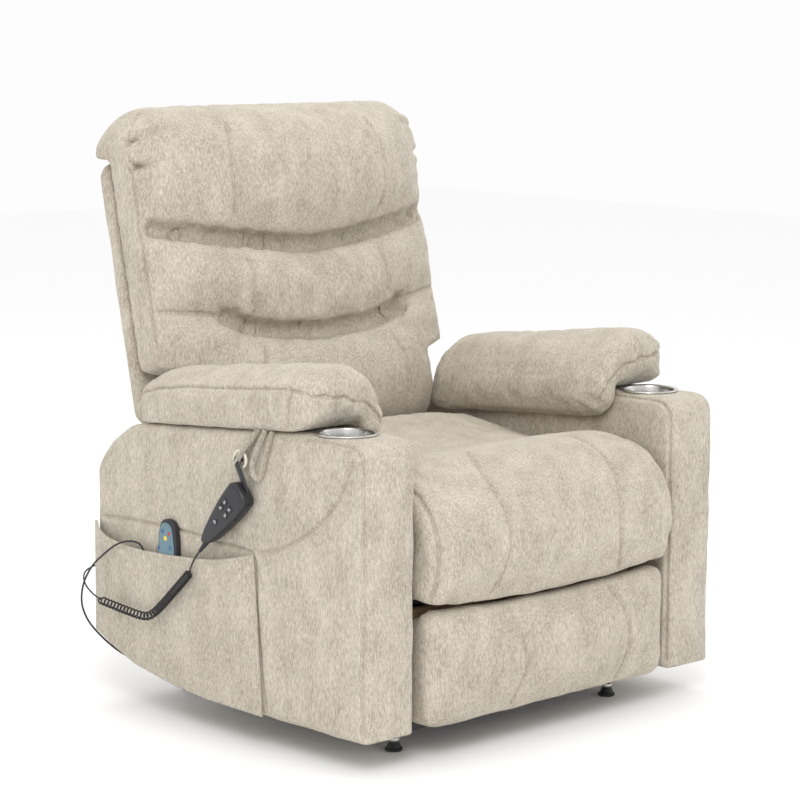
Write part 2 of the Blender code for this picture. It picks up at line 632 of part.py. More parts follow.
def arm_pad(sign, across):
    """A pillow that sits on the arm's top and drops over its inner edge."""
    slope = (ARM_REAR_TOP - ARM_TOP) / (ARM_SLOPE_Y[1] - ARM_SLOPE_Y[0])
    inner_face = ARM_INNER - 0.003
    lift = GAP + 0.0005
    section = [(ARM_OUTER + 0.006, lift + 0.006), (ARM_OUTER + 0.014, 0.035), (ARM_OUTER + 0.006, 0.070),
               (ARM_OUTER - 0.030, 0.094), (ARM_OUTER - 0.075, 0.100), (ARM_INNER - 0.008, 0.088),
               (ARM_INNER - 0.036, 0.052), (ARM_INNER - 0.046, 0.0), (ARM_INNER - 0.042, -0.036),
               (ARM_INNER - 0.022, -0.052), (inner_face, -0.046), (inner_face, lift), (ARM_OUTER - 0.004, lift)]
    centre = (ARM_INNER + 0.03, 0.040)
    sections = []
    for y, shrink, rise in ((PAD_FRONT, 0.34, 0.009), (PAD_FRONT + 0.012, 0.16, 0.007), (PAD_FRONT + 0.045, 0.02, 0.004),
                            (-0.080, 0.0, 0.002), (0.080, 0.03, -0.002), (0.190, 0.08, -0.006),
                            (PAD_REAR - 0.010, 0.16, -0.008), (PAD_REAR, 0.30, -0.008)):
        base = ARM_TOP + slope * max(0.0, y - ARM_SLOPE_Y[0])
        clear_of_cup = max(0.0, 0.24 * (PAD_FRONT + 0.040 - y))
        ring = []
        for x, z in section:
            px = x + (centre[0] - x) * shrink * (0.6 if z > lift else 0.15)
            pz = z + (centre[1] - z) * shrink if z > lift + 0.001 or z < -0.001 else z
            px = min(px, inner_face) if x <= inner_face else max(px, inner_face) if z <= lift else px
            ring.append((sign * px, y, base + (pz + rise if z > lift + 0.001 else pz + clear_of_cup)))
        sections.append(ring)
    bm = bmesh.new()
    add_loft(bm, sections)
    name = f"arm_pad_{across}"
    finish(name, bm, fabric(name), 60)


# ---- Footrest ----

def footrest():
    swing_low = SWING_X - LINK_THICK
    bm = bmesh.new()
    for sign in (-1, 1):
        add_plate(bm, bar_outline([SWING_FRONT, CARRIER_FRONT, BOARD_LINK_REAR], LINK_HALF),
                  *side(sign, SWING_X, swing_low), [(SWING_FRONT, HOLE)])
    ob = finish("footrest_drive_yoke", bm, steel("footrest_drive_yoke"), origin=(0.0, *SWING_FRONT))
    bm = bmesh.new()
    for sign in (-1, 1):
        add_rod(bm, (sign * (SWING_X - 0.002), *CARRIER_FRONT), (sign * (CARRIER_X + 0.0005), *CARRIER_FRONT), PIN)
        add_rod(bm, (sign * (SWING_X - 0.002), *BOARD_LINK_REAR),
                (sign * (INNER_LINK_X - LINK_THICK - 0.0005), *BOARD_LINK_REAR), PIN)
    combine(ob, helper(bm), "UNION")
    tube = mix(SWING_FRONT, CARRIER_FRONT, 0.16)
    bm = bmesh.new()
    add_rod(bm, (-swing_low - 0.001, *tube), (swing_low + 0.001, *tube), 0.010)
    combine(ob, helper(bm), "UNION")
    for sign, across in ((-1, "left"), (1, "right")):
        outline = hull_outline([(point, LINK_HALF) for point in (SWING_REAR, CARRIER_REAR, BACK_LINK_FRONT)])
        link(f"swing_arm_rear_{across}", sign, SWING_X, outline, [(SWING_REAR, HOLE)],
             [(CARRIER_REAR, SWING_X - 0.002, CARRIER_X + 0.0005),
              (BACK_LINK_FRONT, SWING_X - 0.002, INNER_LINK_X - LINK_THICK - 0.0005)], origin=SWING_REAR)
        link(f"carrier_bar_{across}", sign, CARRIER_X, [CARRIER_REAR, CARRIER_FRONT, BOARD_PIVOT],
             [(CARRIER_REAR, HOLE + 0.0005), (CARRIER_FRONT, HOLE), (BOARD_PIVOT, HOLE)], origin=CARRIER_FRONT)
        link(f"board_link_{across}", sign, INNER_LINK_X, [BOARD_LINK_REAR, BOARD_LINK_FRONT],
             [(BOARD_LINK_REAR, HOLE), (BOARD_LINK_FRONT, HOLE + BOARD_LINK_SLACK)], half=BOARD_LINK_HALF)
        link(f"back_link_{across}", sign, INNER_LINK_X, [BACK_LINK_FRONT, BACK_LINK_REAR],
             [(BACK_LINK_FRONT, HOLE), (BACK_LINK_REAR, HOLE + BACK_LINK_SLACK)])
        plane = BOARD_Y[1] + GAP
        outline = hull_outline([(BOARD_PIVOT, 0.0095), (BOARD_LINK_FRONT, 0.0090),
                                ((plane + 0.002, 0.165), 0.0019), ((plane + 0.002, 0.240), 0.0019)])
        link(f"footrest_bracket_{across}", sign, SWING_X, outline, [],
             [(BOARD_PIVOT, SWING_X - 0.002, CARRIER_X + 0.0005),
              (BOARD_LINK_FRONT, SWING_X - 0.002, INNER_LINK_X - LINK_THICK - 0.0005)], origin=BOARD_PIVOT)
    bm = bmesh.new()
    add_box(bm, (-BOARD_HALF, BOARD_Y[0], BOARD_Z[0]), (BOARD_HALF, BOARD_Y[1], BOARD_Z[1]))
    finish("footrest_board", bm, wood("footrest_board"), origin=(0.0, *BOARD_PIVOT))
    rear = BOARD_Y[0] - GAP
    smooth_box("footrest_pad", (-PAD_HALF, rear - PAD_DEPTH, PAD_Z[0]), (PAD_HALF, rear, PAD_Z[1]), 0.018,
               fabric("footrest_pad"))


# ---- Back ----

def back_point(along, behind):
    """(y, z) from the height up the leaning back and the distance behind its rear face."""
    up = Vector((math.sin(BACK_LEAN), math.cos(BACK_LEAN)))
    out = Vector((math.cos(BACK_LEAN), -math.sin(BACK_LEAN)))
    return tuple(Vector(BACK_REF) + up * along + out * behind)


def back_frame():
    """Steel frame: two uprights and three rails, hung on brackets that carry the back's pivot."""
    front, rear = -BACK_PANEL - BACK_FRAME - GAP, -BACK_PANEL - GAP
    low, high = -0.115, 0.400
    inner, outer = 0.190, SWING_X
    bm = bmesh.new()
    post = [back_point(low, front), back_point(high, front), back_point(high, rear), back_point(low, rear)]
    add_plate(bm, post, inner, outer)
    ob = finish("back_frame", bm, steel("back_frame"), origin=(0.0, *BACK_PIVOT))
    bm = bmesh.new()
    add_plate(bm, post, -inner, -outer)
    combine(ob, helper(bm), "UNION")
    bm = bmesh.new()
    for at in (low + 0.014, 0.15, high - 0.030):
        rail = [back_point(at - 0.013, front + 0.001), back_point(at + 0.013, front + 0.001),
                back_point(at + 0.013, rear - 0.001), back_point(at - 0.013, rear - 0.001)]
        add_plate(bm, rail, -inner - 0.005, inner + 0.005)
    combine(ob, helper(bm), "UNION")
    upper = back_point(low - 0.003, (front + rear) / 2)
    bm = bmesh.new()
    for sign in (-1, 1):
        add_plate(bm, bar_outline([BACK_LINK_REAR, BACK_PIVOT, upper], 0.0115),
                  *side(sign, SWING_X, SWING_X - LINK_THICK), [(BACK_PIVOT, HOLE)])
    combine(ob, helper(bm), "UNION")
    crank = polar(BACK_PIVOT, BACK_CRANK, BACK_CRANK_ANGLE)
    bm = bmesh.new()
    add_plate(bm, bar_outline([crank, CRANK_BEND, upper], 0.0115), -MOTOR_X - 0.016, -MOTOR_X - 0.010)
    for sign in (-1, 1):
        add_rod(bm, (sign * (SWING_X - 0.002), *BACK_LINK_REAR),
                (sign * (INNER_LINK_X - LINK_THICK - 0.0005), *BACK_LINK_REAR), PIN)
    combine(ob, helper(bm), "UNION")
    bm = bmesh.new()
    add_rod(bm, (-MOTOR_X - 0.012, *crank), (-MOTOR_X + 0.010, *crank), PIN)
    combine(ob, helper(bm), "UNION")
    return crank


def outer_back():
    """The separate upholstered panel that closes the back from behind."""
    low, high = -0.030, 0.455
    profile = [back_point(low, -BACK_PANEL), back_point(high, -BACK_PANEL), back_point(high - 0.004, -0.010),
               back_point(high - 0.018, 0.0), back_point(0.2, 0.003), back_point(low + 0.012, 0.0),
               back_point(low, -0.010)]
    sections = []
    for share in (-1, -0.985, 0.985, 1):
        pull = 0.012 if abs(share) == 1 else 0.0
        section = []
        for k, (y, z) in enumerate(profile):
            shift = pull if k > 1 else 0.0
            section.append((share * (BACK_HALF - 0.004), y - shift, z + shift * 0.2))
        sections.append(section)
    bm = bmesh.new()
    add_loft(bm, sections)
    ob = finish("outer_back_panel", bm, fabric("outer_back_panel"), 50, origin=(0.0, *BACK_PIVOT))
    bm = bmesh.new()
    inside = -BACK_PANEL + 0.004
    lower = [back_point(low + 0.020, inside), back_point(low + 0.020, -0.008),
             back_point(-0.165, -0.008), back_point(-0.172, -0.016), back_point(-0.172, inside)]
    add_plate(bm, lower, -VALANCE_HALF, VALANCE_HALF)
    combine(ob, helper(bm), "UNION")


def rear_valance():
    """The cloth-covered board that closes the rear between the arms, on the carriage's rear tube."""
    bm = bmesh.new()
    add_box(bm, (-VALANCE_HALF, CROSS_REAR[0] + CROSS / 2 + GAP, VALANCE_Z[0]),
            (VALANCE_HALF, CROSS_REAR[0] + CROSS / 2 + 0.0165, VALANCE_Z[1]))
    finish("rear_valance", bm, fabric("rear_valance"))


def back_cushion():
    """The front of the back: head, shoulder and lumbar tiers in one piece, narrow between the arms."""
    rear = -BACK_PANEL - BACK_FRAME - 3 * GAP
    side_depth = (0.036, 0.040, 0.048, 0.052, 0.050)
    bulge = (0.130, 0.128, 0.118, 0.112, 0.100)
    heights = (0.055, 0.150, 0.270, 0.370, 0.460)
    sections = []
    half_widths = ((1, 0.0), (0.93, 0.38), (0.76, 0.58), (0.50, 0.93), (0.0, 1.0))
    across = [(-share, fill) for share, fill in half_widths] + [pair for pair in half_widths[-2::-1]]
    for share, fill in across:
        section = [back_point(0.040, rear)]
        for up, thin, thick in zip(heights, side_depth, bulge):
            section.append(back_point(up, rear - thin - (thick - thin) * fill))
        section += [back_point(0.520, rear - 0.052 - 0.030 * fill), back_point(0.5375, rear - 0.014),
                    back_point(0.530, -0.020), back_point(0.500, -0.004), back_point(0.470, -0.008),
                    back_point(0.4585, -0.030), back_point(0.4585, rear)]
        sections.append([(share * BACK_HALF, y, z) for y, z in section])
    bm = bmesh.new()
    add_loft(bm, sections)
    ob = finish("back_cushion", bm, fabric("back_cushion"), 50, origin=(0.0, *BACK_PIVOT))
    bm = bmesh.new()
    lower = [back_point(0.060, rear), back_point(0.060, rear - 0.125), back_point(-0.020, rear - 0.112),
             back_point(-0.090, rear - 0.080), back_point(-0.112, rear - 0.040), back_point(-0.112, rear)]
    add_plate(bm, lower, -BACK_LOWER_HALF, BACK_LOWER_HALF)
    combine(ob, helper(bm), "UNION")


# ---- Left side: pocket, strap, handset, remote ----

def side_pocket():
    """A cloth pouch on the arm's side, open along its top."""
    outer = -ARM_OUTER - GAP
    wall = 0.0025
    front, rear = -0.078, 0.345
    lip = [(rear, 0.330), (0.250, 0.296), (0.150, 0.301), (0.060, 0.305), (-0.040, 0.322), (front, 0.330)]
    bottom = [(front, 0.150), (rear, 0.150)]
    outline = lip + bottom
    bm = bmesh.new()
    add_plate(bm, outline, outer, POCKET_FACE)
    ob = finish("side_pocket", bm, fabric("side_pocket"))
    inner = [(rear - 0.006, 0.400), (front + 0.006, 0.400), (front + 0.006, 0.160), (rear - 0.006, 0.160)]
    bm = bmesh.new()
    add_plate(bm, inner, outer - wall, POCKET_FACE + wall)
    combine(ob, helper(bm), "DIFFERENCE")


def handset_axes():
    up = Vector((HANDSET_TOP[0] - HANDSET_TIP[0], HANDSET_TOP[1] - HANDSET_TIP[1]))
    length = up.length
    up.normalize()
    return up, Vector((up.y, -up.x)), length


def handset_point(along, across):
    """(y, z) from the distance up the handset from its tip, and to its right as seen from outside."""
    up, right, _ = handset_axes()
    return tuple(Vector(HANDSET_TIP) + up * along + right * across)


def handset_outline(inset):
    half = HANDSET_WIDTH / 2 - inset
    _, _, length = handset_axes()
    ends = [(inset, 0.005), (0.022, 0.013), (0.050, 0.0195 - inset), (0.085, half - 0.0015),
            (0.115, half), (length - 0.010, half - 0.001), (length - 0.003 - inset, half - 0.007),
            (length - inset, half - 0.014)]
    return [handset_point(a, b) for a, b in ends] + [handset_point(a, -b) for a, b in ends[::-1]]


def handset():
    """Two half shells, four sprung keys, a charging port, a hook and the cord's boot."""
    split = HANDSET_FACE + HANDSET_THICK * 0.45
    back = HANDSET_FACE + HANDSET_THICK
    _, _, length = handset_axes()
    keys = [(length - 0.040, -0.008), (length - 0.040, 0.008), (length - 0.055, -0.008), (length - 0.055, 0.008)]
    port = handset_point(length - 0.085, 0.001)
    bm = bmesh.new()
    add_loft(bm, [[(split, *p) for p in handset_outline(0.0)],
                  [(HANDSET_FACE + 0.004, *p) for p in handset_outline(0.0)],
                  [(HANDSET_FACE, *p) for p in handset_outline(0.004)]])
    ob = finish("handset_casing_front", bm, plastic("handset_casing_front"), 40)
    bm = bmesh.new()
    for along, across in keys:
        half = BUTTON / 2 + 0.0004
        corners = [handset_point(along + half, across + half), handset_point(along + half, across - half),
                   handset_point(along - half, across - half), handset_point(along - half, across + half)]
        add_plate(bm, corners, HANDSET_FACE - 0.002, HANDSET_FACE + 0.006)
    add_rod(bm, (HANDSET_FACE - 0.002, *port), (HANDSET_FACE + 0.008, *port), 0.0060)
    combine(ob, helper(bm), "DIFFERENCE")
    bm = bmesh.new()
    add_loft(bm, [[(split + GAP, *p) for p in handset_outline(0.0)],
                  [(back - 0.005, *p) for p in handset_outline(0.0)],
                  [(back, *p) for p in handset_outline(0.005)]])
    ob = finish("handset_casing_back", bm, plastic("handset_casing_back"), 40)
    hook_x = -ARM_OUTER - 0.0165
    bm = bmesh.new()
    add_plate(bm, bar_outline([handset_point(length - 0.012, 0.0), RING_AT], 0.0055), hook_x, hook_x - 0.004)
    combine(ob, helper(bm), "UNION")
    bm = bmesh.new()
    add_rod(bm, (hook_x - 0.002, *RING_AT), (-ARM_OUTER - 0.007, *RING_AT), 0.004, None, 12)
    combine(ob, helper(bm), "UNION")
    for k, (along, across) in enumerate(keys):
        half = BUTTON / 2
        corners = [handset_point(along + half, across + half), handset_point(along + half, across - half),
                   handset_point(along - half, across - half), handset_point(along - half, across + half)]
        bm = bmesh.new()
        add_plate(bm, corners, HANDSET_FACE - 0.0012, HANDSET_FACE + 0.0045)
        finish(f"handset_button_{k + 1}", bm, plastic(f"handset_button_{k + 1}"),
               origin=(HANDSET_FACE, *handset_point(along, across)))
    bm = bmesh.new()
    add_rod(bm, (HANDSET_FACE + 0.0005, *port), (HANDSET_FACE + 0.0075, *port), 0.0056)
    ob = finish("handset_usb_port", bm, plastic("handset_usb_port"), 30)
    bm = bmesh.new()
    middle = Vector((0, *port))
    add_box(bm, (HANDSET_FACE - 0.001, middle.y - 0.0040, middle.z - 0.0010),
            (HANDSET_FACE + 0.0045, middle.y + 0.0040, middle.z + 0.0010))
    combine(ob, helper(bm), "DIFFERENCE")
    start = Vector((HANDSET_FACE + 0.0145, *handset_point(-GAP, 0.0)))
    end = Vector(HANDSET_LEAD[0])
    bm = bmesh.new()
    add_rod(bm, start, end - (end - start).normalized() * 4 * GAP, 0.0045, 0.0028, 12)
    finish("handset_boot", bm, plastic("handset_boot"), 30)


def strap_and_ring():
    """A fabric strap from under the arm pad, and the ring that the handset hangs from."""
    outer = -ARM_OUTER - GAP
    bm = bmesh.new()
    strap = [(-0.122, 0.5340), (-0.082, 0.5320), (-0.050, 0.490), (-0.046, 0.474), (-0.072, 0.470), (-0.084, 0.482)]
    add_plate(bm, strap, outer, outer - 0.004)
    finish("hanger_strap", bm, fabric("hanger_strap"))
    ring_x = -ARM_OUTER - 0.0115
    bm = bmesh.new()
    turns = 20
    around = 8
    made = bmesh.ops.create_circle(bm, cap_ends=False, segments=around, radius=RING_WIRE,
                                   matrix=Matrix.Translation((ring_x, RING_AT[0] + RING_RADIUS, RING_AT[1])))
    edges = list({e for v in made["verts"] for e in v.link_edges})
    bmesh.ops.rotate(bm, verts=made["verts"], cent=(ring_x, RING_AT[0] + RING_RADIUS, RING_AT[1]),
                     matrix=Matrix.Rotation(0, 3, "X"))
    bmesh.ops.spin(bm, geom=made["verts"] + edges, cent=(ring_x, *RING_AT), axis=(1, 0, 0), angle=2 * math.pi,
                   steps=turns, use_merge=True)
    bmesh.ops.remove_doubles(bm, verts=bm.verts, dist=1e-5)
    finish("strap_ring", bm, plastic("strap_ring", (0.8, 0.76, 0.66, 1.0)), 60)


def massage_remote():
    """A small remote with a membrane keypad, standing in the pocket."""
    back = -ARM_OUTER - 0.0035
    face = back - 0.0118
    outline = [(0.170, 0.250), (0.158, 0.340), (0.150, 0.356), (0.132, 0.358), (0.118, 0.346), (0.112, 0.300),
               (0.122, 0.250)]
    bm = bmesh.new()
    add_plate(bm, outline, back, face)
    finish("massage_remote_body", bm, plastic("massage_remote_body"), 40)
    keypad = [(0.164, 0.270), (0.154, 0.338), (0.147, 0.351), (0.134, 0.352), (0.123, 0.342), (0.118, 0.300),
              (0.126, 0.270)]
    bm = bmesh.new()
    add_plate(bm, keypad, face - GAP, face - GAP - 0.0008)
    finish("massage_remote_keypad", bm, plastic("massage_remote_keypad", (0.25, 0.42, 0.42, 1.0)))


# ---- Cords ----

def smooth_route(points, spacing):
    """Points at an even spacing along a smooth curve through the route's own points."""
    points = [Vector(p) for p in points]
    ends = [points[0] * 2 - points[1], *points, points[-1] * 2 - points[-2]]
    dense = []
    for a, b, c, d in zip(ends, ends[1:], ends[2:], ends[3:]):
        for k in range(24):
            t = k / 24
            dense.append(0.5 * (2 * b + (c - a) * t + (2 * a - 5 * b + 4 * c - d) * t ** 2
                                + (3 * b - a - 3 * c + d) * t ** 3))
    dense.append(points[-1])
    total = sum((q - p).length for p, q in zip(dense, dense[1:]))
    count = max(2, round(total / spacing))
    step = total / count
    even, travelled, wanted = [dense[0]], 0.0, step
    for p, q in zip(dense, dense[1:]):
        length = (q - p).length
        while wanted <= travelled + length and len(even) < count:
            even.append(p.lerp(q, (wanted - travelled) / length))
            wanted += step
        travelled += length
    return even + [dense[-1]]


def cord(name, route, radius, spacing, resolution=2):
    curve = bpy.data.curves.new(name, "CURVE")
    curve.dimensions = "3D"
    curve.bevel_depth = radius
    curve.bevel_resolution = resolution
    curve.use_fill_caps = True
    points = smooth_route(route, spacing)
    spline = curve.splines.new("POLY")
    spline.points.add(len(points) - 1)
    for point, place in zip(spline.points, points):
        point.co = (*place, 1.0)
    curve.materials.append(plastic(name))
    ob = bpy.data.objects.new(name, curve)
    bpy.context.scene.collection.objects.link(ob)
    ob.parent = CHAIR


def cords():
    cord("handset_lead", HANDSET_LEAD, CORD_RADIUS, 0.006)
    cord("handset_coil", COIL_ROUTE, COIL_RADIUS, 0.018)
    cord("handset_tail", HANDSET_TAIL, CORD_RADIUS, 0.009)
    cord("massage_cord", MASSAGE_ROUTE, MASSAGE_CORD_RADIUS, 0.009)
    x, z = HANDSET_GLAND
    bm = bmesh.new()
    add_rod(bm, (x, ARM_REAR + GAP, z), (x, ARM_REAR + 0.0135, z), 0.0065, 0.0045)
    finish("handset_gland", bm, plastic("handset_gland"), 30)
    place = Vector(MASSAGE_GLAND)
    down = Vector((0, math.sin(MASSAGE_GLAND_TILT), -math.cos(MASSAGE_GLAND_TILT)))
    bm = bmesh.new()
    add_rod(bm, place, place - down * 0.0045, 0.0050, 0.0065)
    finish("massage_gland", bm, plastic("massage_gland"), 30)


def build():
    global CHAIR
    clear_scene()
    CHAIR = bpy.data.objects.new("chair", None)
    bpy.context.scene.collection.objects.link(CHAIR)
    CHAIR.location = (*CHAIR_SHIFT, 0.0)
    material("helper", (1, 0, 0, 1))
    base_frame()
    feet()
    power_supply()
    lift_crank = lift_links()
    actuator("lift_actuator", MOTOR_X, LIFT_MOTOR, lift_crank, LIFT_ROD_SLACK, 0.100)
    carriage()
    seat_frame()
    seat_cushion()
    for sign, across in ((-1, "left"), (1, "right")):
        arm(sign, across)
        cup_holder(sign, across)
        arm_pad(sign, across)
    footrest()
    back_crank = back_frame()
    actuator("back_actuator", -MOTOR_X, BACK_MOTOR, back_crank, BACK_ROD_SLACK, 0.080)
    outer_back()
    back_cushion()
    rear_valance()
    side_pocket()
    strap_and_ring()
    handset()
    massage_remote()
    cords()


build()
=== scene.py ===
"""Power lift recliner chair: upholstery, handset, cords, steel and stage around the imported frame."""

import math

import bmesh
import bpy
import numpy as np
from mathutils import Matrix, Vector, noise
from mathutils.bvhtree import BVHTree
from mathutils.kdtree import KDTree


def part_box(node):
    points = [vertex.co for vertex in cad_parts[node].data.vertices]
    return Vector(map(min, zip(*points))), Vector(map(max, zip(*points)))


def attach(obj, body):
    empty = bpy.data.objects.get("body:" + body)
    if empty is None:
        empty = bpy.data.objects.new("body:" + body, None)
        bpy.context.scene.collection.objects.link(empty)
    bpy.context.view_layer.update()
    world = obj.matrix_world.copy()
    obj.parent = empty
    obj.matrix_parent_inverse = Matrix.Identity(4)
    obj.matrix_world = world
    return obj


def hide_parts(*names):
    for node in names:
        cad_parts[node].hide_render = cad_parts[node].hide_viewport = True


bl_info = {
    "name": "Lift Recliner Chair",
    "version": (1, 0, 0),
    "blender": (4, 5, 0),
    "location": "3D View > Sidebar > Recliner",
    "description": "Builds the upholstery, handset, cords and finishes of a power lift recliner",
    "category": "Object",
}

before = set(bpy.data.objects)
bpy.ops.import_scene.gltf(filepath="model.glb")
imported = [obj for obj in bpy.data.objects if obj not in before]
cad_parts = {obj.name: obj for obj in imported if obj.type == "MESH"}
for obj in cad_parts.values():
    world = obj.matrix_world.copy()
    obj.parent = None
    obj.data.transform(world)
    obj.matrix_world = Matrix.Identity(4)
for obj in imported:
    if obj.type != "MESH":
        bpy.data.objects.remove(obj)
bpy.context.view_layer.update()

# The chair's own frame is used below: x = 0 is its middle plane and it faces -Y, in metres.
SHIFT = Vector((0.01035, -0.0485, 0.0))
UP = Vector((0.0, math.sin(math.radians(12.7)), math.cos(math.radians(12.7))))  # up the leaning back
BEHIND = Vector((0.0, UP.z, -UP.y))  # square to the back, to its rear
BACK_REF = Vector((0.0, 0.370, 0.500))
ARM_OUTER, ARM_INNER = 0.4285, 0.3085
ARM_TOP = 0.544
ARM_SLOPE_FROM, ARM_SLOPE = -0.175, 0.0785  # the arm top falls to the rear from there
CUP_X, CUP_Y = 0.3685, -0.2325
SIDES = ((-1, "left"), (1, "right"))


# ---- Building blocks ----

def finish_mesh(name, bm, body, nodes=(), smooth=40, placed=False):
    """Makes the piece from bm in the chair's own frame, and lets it ride on its body."""
    bmesh.ops.recalc_face_normals(bm, faces=bm.faces)
    if not placed:
        bmesh.ops.translate(bm, verts=bm.verts, vec=SHIFT)
    mesh = bpy.data.meshes.new(name)
    bm.to_mesh(mesh)
    bm.free()
    if smooth:
        mesh.shade_smooth()
        if smooth < 180:
            mesh.set_sharp_from_angle(angle=math.radians(smooth))
    ob = bpy.data.objects.new(name, mesh)
    bpy.context.scene.collection.objects.link(ob)
    if body:
        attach(ob, body)
    if nodes:
        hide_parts(*nodes)
    return ob


def set_material(ob, mat):
    ob.data.materials.clear()
    ob.data.materials.append(mat)


def smooth_line(points, step):
    """Points at an even step along a smooth curve through the given ones."""
    points = [Vector(p) for p in points]
    if len(points) == 2:
        dense = [points[0].lerp(points[1], k / 40) for k in range(41)]
    else:
        ends = [points[0] * 2 - points[1], *points, points[-1] * 2 - points[-2]]
        dense = []
        for a, b, c, d in zip(ends, ends[1:], ends[2:], ends[3:]):
            for k in range(20):
                t = k / 20
                dense.append(0.5 * (2 * b + (c - a) * t + (2 * a - 5 * b + 4 * c - d) * t ** 2
                                    + (3 * b - a - 3 * c + d) * t ** 3))
        dense.append(points[-1])
    gone = [0.0]
    for p, q in zip(dense, dense[1:]):
        gone.append(gone[-1] + (q - p).length)
    count = max(2, round(gone[-1] / step))
    even, k = [], 0
    for i in range(count + 1):
        want = gone[-1] * i / count
        while k < len(gone) - 2 and gone[k + 1] < want:
            k += 1
        share = (want - gone[k]) / max(gone[k + 1] - gone[k], 1e-9)
        even.append(dense[k].lerp(dense[k + 1], min(1.0, share)))
    return even


def loft(bm, sections):
    """A closed body through sections, each a loop of the same number of points."""
    loops = []
    for section in sections:
        verts = [bm.verts.new(p) for p in section]
        loops.append([bm.edges.new((verts[i - 1], verts[i])) for i in range(len(verts))])
    for first, second in zip(loops, loops[1:]):
        bmesh.ops.bridge_loops(bm, edges=first + second)
    for end in (loops[0], loops[-1]):
        bmesh.ops.contextual_create(bm, geom=end)


def block(bm, cuts, shape):
    """A cube cut into a grid, with each point of it moved to shape(u, v, w), all from -1 to 1."""
    made = bmesh.ops.create_cube(bm, size=2.0)["verts"]
    edges = list({e for v in made for e in v.link_edges})
    bmesh.ops.subdivide_edges(bm, edges=edges, cuts=cuts, use_grid_fill=True)
    for v in bm.verts:
        v.co = shape(*v.co)


def rounded(share, half, radius):
    """The point of a box with rounded edges that share (u, v, w) stands for."""
    over = [max(0.0, abs(c) * h - (h - r)) / r for c, h, r in zip(share, half, radius)]
    length = math.sqrt(sum(o * o for o in over))
    keep = max(over) / length if length > 0 else 0.0
    return [math.copysign((h - r) + r * o * keep if o > 0 else abs(c) * h, c)
            for c, h, r, o in zip(share, half, radius, over)]


def slab(bm, outline, x_from, x_to, edge=0.0, segments=3):
    """A plate square to X from a (y, z) outline, with its rims rounded."""
    verts = [bm.verts.new((x_from, y, z)) for y, z in outline]
    face = bm.faces.new(verts)
    grown = bmesh.ops.extrude_face_region(bm, geom=[face])
    top = [v for v in grown["geom"] if isinstance(v, bmesh.types.BMVert)]
    bmesh.ops.translate(bm, verts=top, vec=(x_to - x_from, 0, 0))
    if edge:
        rims = [e for ring in (verts, top) for e in {e for v in ring for e in v.link_edges}
                if e.verts[0] in ring and e.verts[1] in ring]
        bmesh.ops.bevel(bm, geom=list(set(rims)), offset=edge, segments=segments, profile=0.5,
                        affect="EDGES",
                        material=-1)


def turned(bm, profile, steps):
    """A body turned round an axis from (radius, height) points."""
    verts = [bm.verts.new((r, 0.0, z)) for r, z in profile]
    edges = [bm.edges.new((verts[i], verts[i + 1])) for i in range(len(verts) - 1)]
    bmesh.ops.spin(bm, geom=verts + edges, cent=(0, 0, 0), axis=(0, 0, 1), angle=2 * math.pi, steps=steps,
                          use_merge=True)
    bmesh.ops.remove_doubles(bm, verts=bm.verts, dist=1e-6)


def tube(bm, points, radius, sides=8, flat=1.0, normal=None):
    """A round or flattened tube along points, made by sweeping a circle."""
    before = None
    for i, p in enumerate(points):
        ahead = (points[min(i + 1, len(points) - 1)] - points[max(i - 1, 0)]).normalized()
        out = normal(i) if normal else Vector((1, 0, 0))
        out = (out - ahead * out.dot(ahead)).normalized()
        across = ahead.cross(out)
        ring = bmesh.ops.create_circle(bm, segments=sides, radius=1.0)["verts"]
        for v in ring:
            v.co = p + across * v.co.x * radius + out * v.co.y * radius * flat
        edges = list({e for v in ring for e in v.link_edges})
        if before is None:
            bmesh.ops.contextual_create(bm, geom=edges)
        else:
            bmesh.ops.bridge_loops(bm, edges=before + edges)
        before = edges
    bmesh.ops.contextual_create(bm, geom=before)


def bake_modifiers(ob):
    """Puts the result of the piece's modifiers into its mesh."""
    bpy.context.view_layer.update()
    deps = bpy.context.evaluated_depsgraph_get()
    mesh = bpy.data.meshes.new_from_object(ob.evaluated_get(deps))
    old = ob.data
    ob.modifiers.clear()
    ob.data = mesh
    bpy.data.meshes.remove(old)
    mesh.name = ob.name


def even_mesh(ob, voxel):
    step = ob.modifiers.new("even", "REMESH")
    step.mode = "VOXEL"
    step.voxel_size = voxel
    step.use_smooth_shade = True
    bake_modifiers(ob)


def soften(ob, rounds, where=None):
    """Smooths the mesh a little, everywhere or where the test holds."""
    bm = bmesh.new()
    bm.from_mesh(ob.data)
    verts = [v for v in bm.verts if where is None or where(v.co - SHIFT)]
    for _ in range(rounds):
        bmesh.ops.smooth_vert(bm, verts=verts, factor=0.5, use_axis_x=True, use_axis_y=True,
                              use_axis_z=True)
    bm.to_mesh(ob.data)
    bm.free()


def subdivide(ob):
    step = ob.modifiers.new("fine", "SUBSURF")
    step.levels = step.render_levels = 1
    bake_modifiers(ob)


def coordinates(ob):
    co = np.empty(len(ob.data.vertices) * 3)
    ob.data.vertices.foreach_get("co", co)
    return co.reshape(-1, 3)


def write_coordinates(ob, co):
    ob.data.vertices.foreach_set("co", co.ravel())
    ob.data.update()


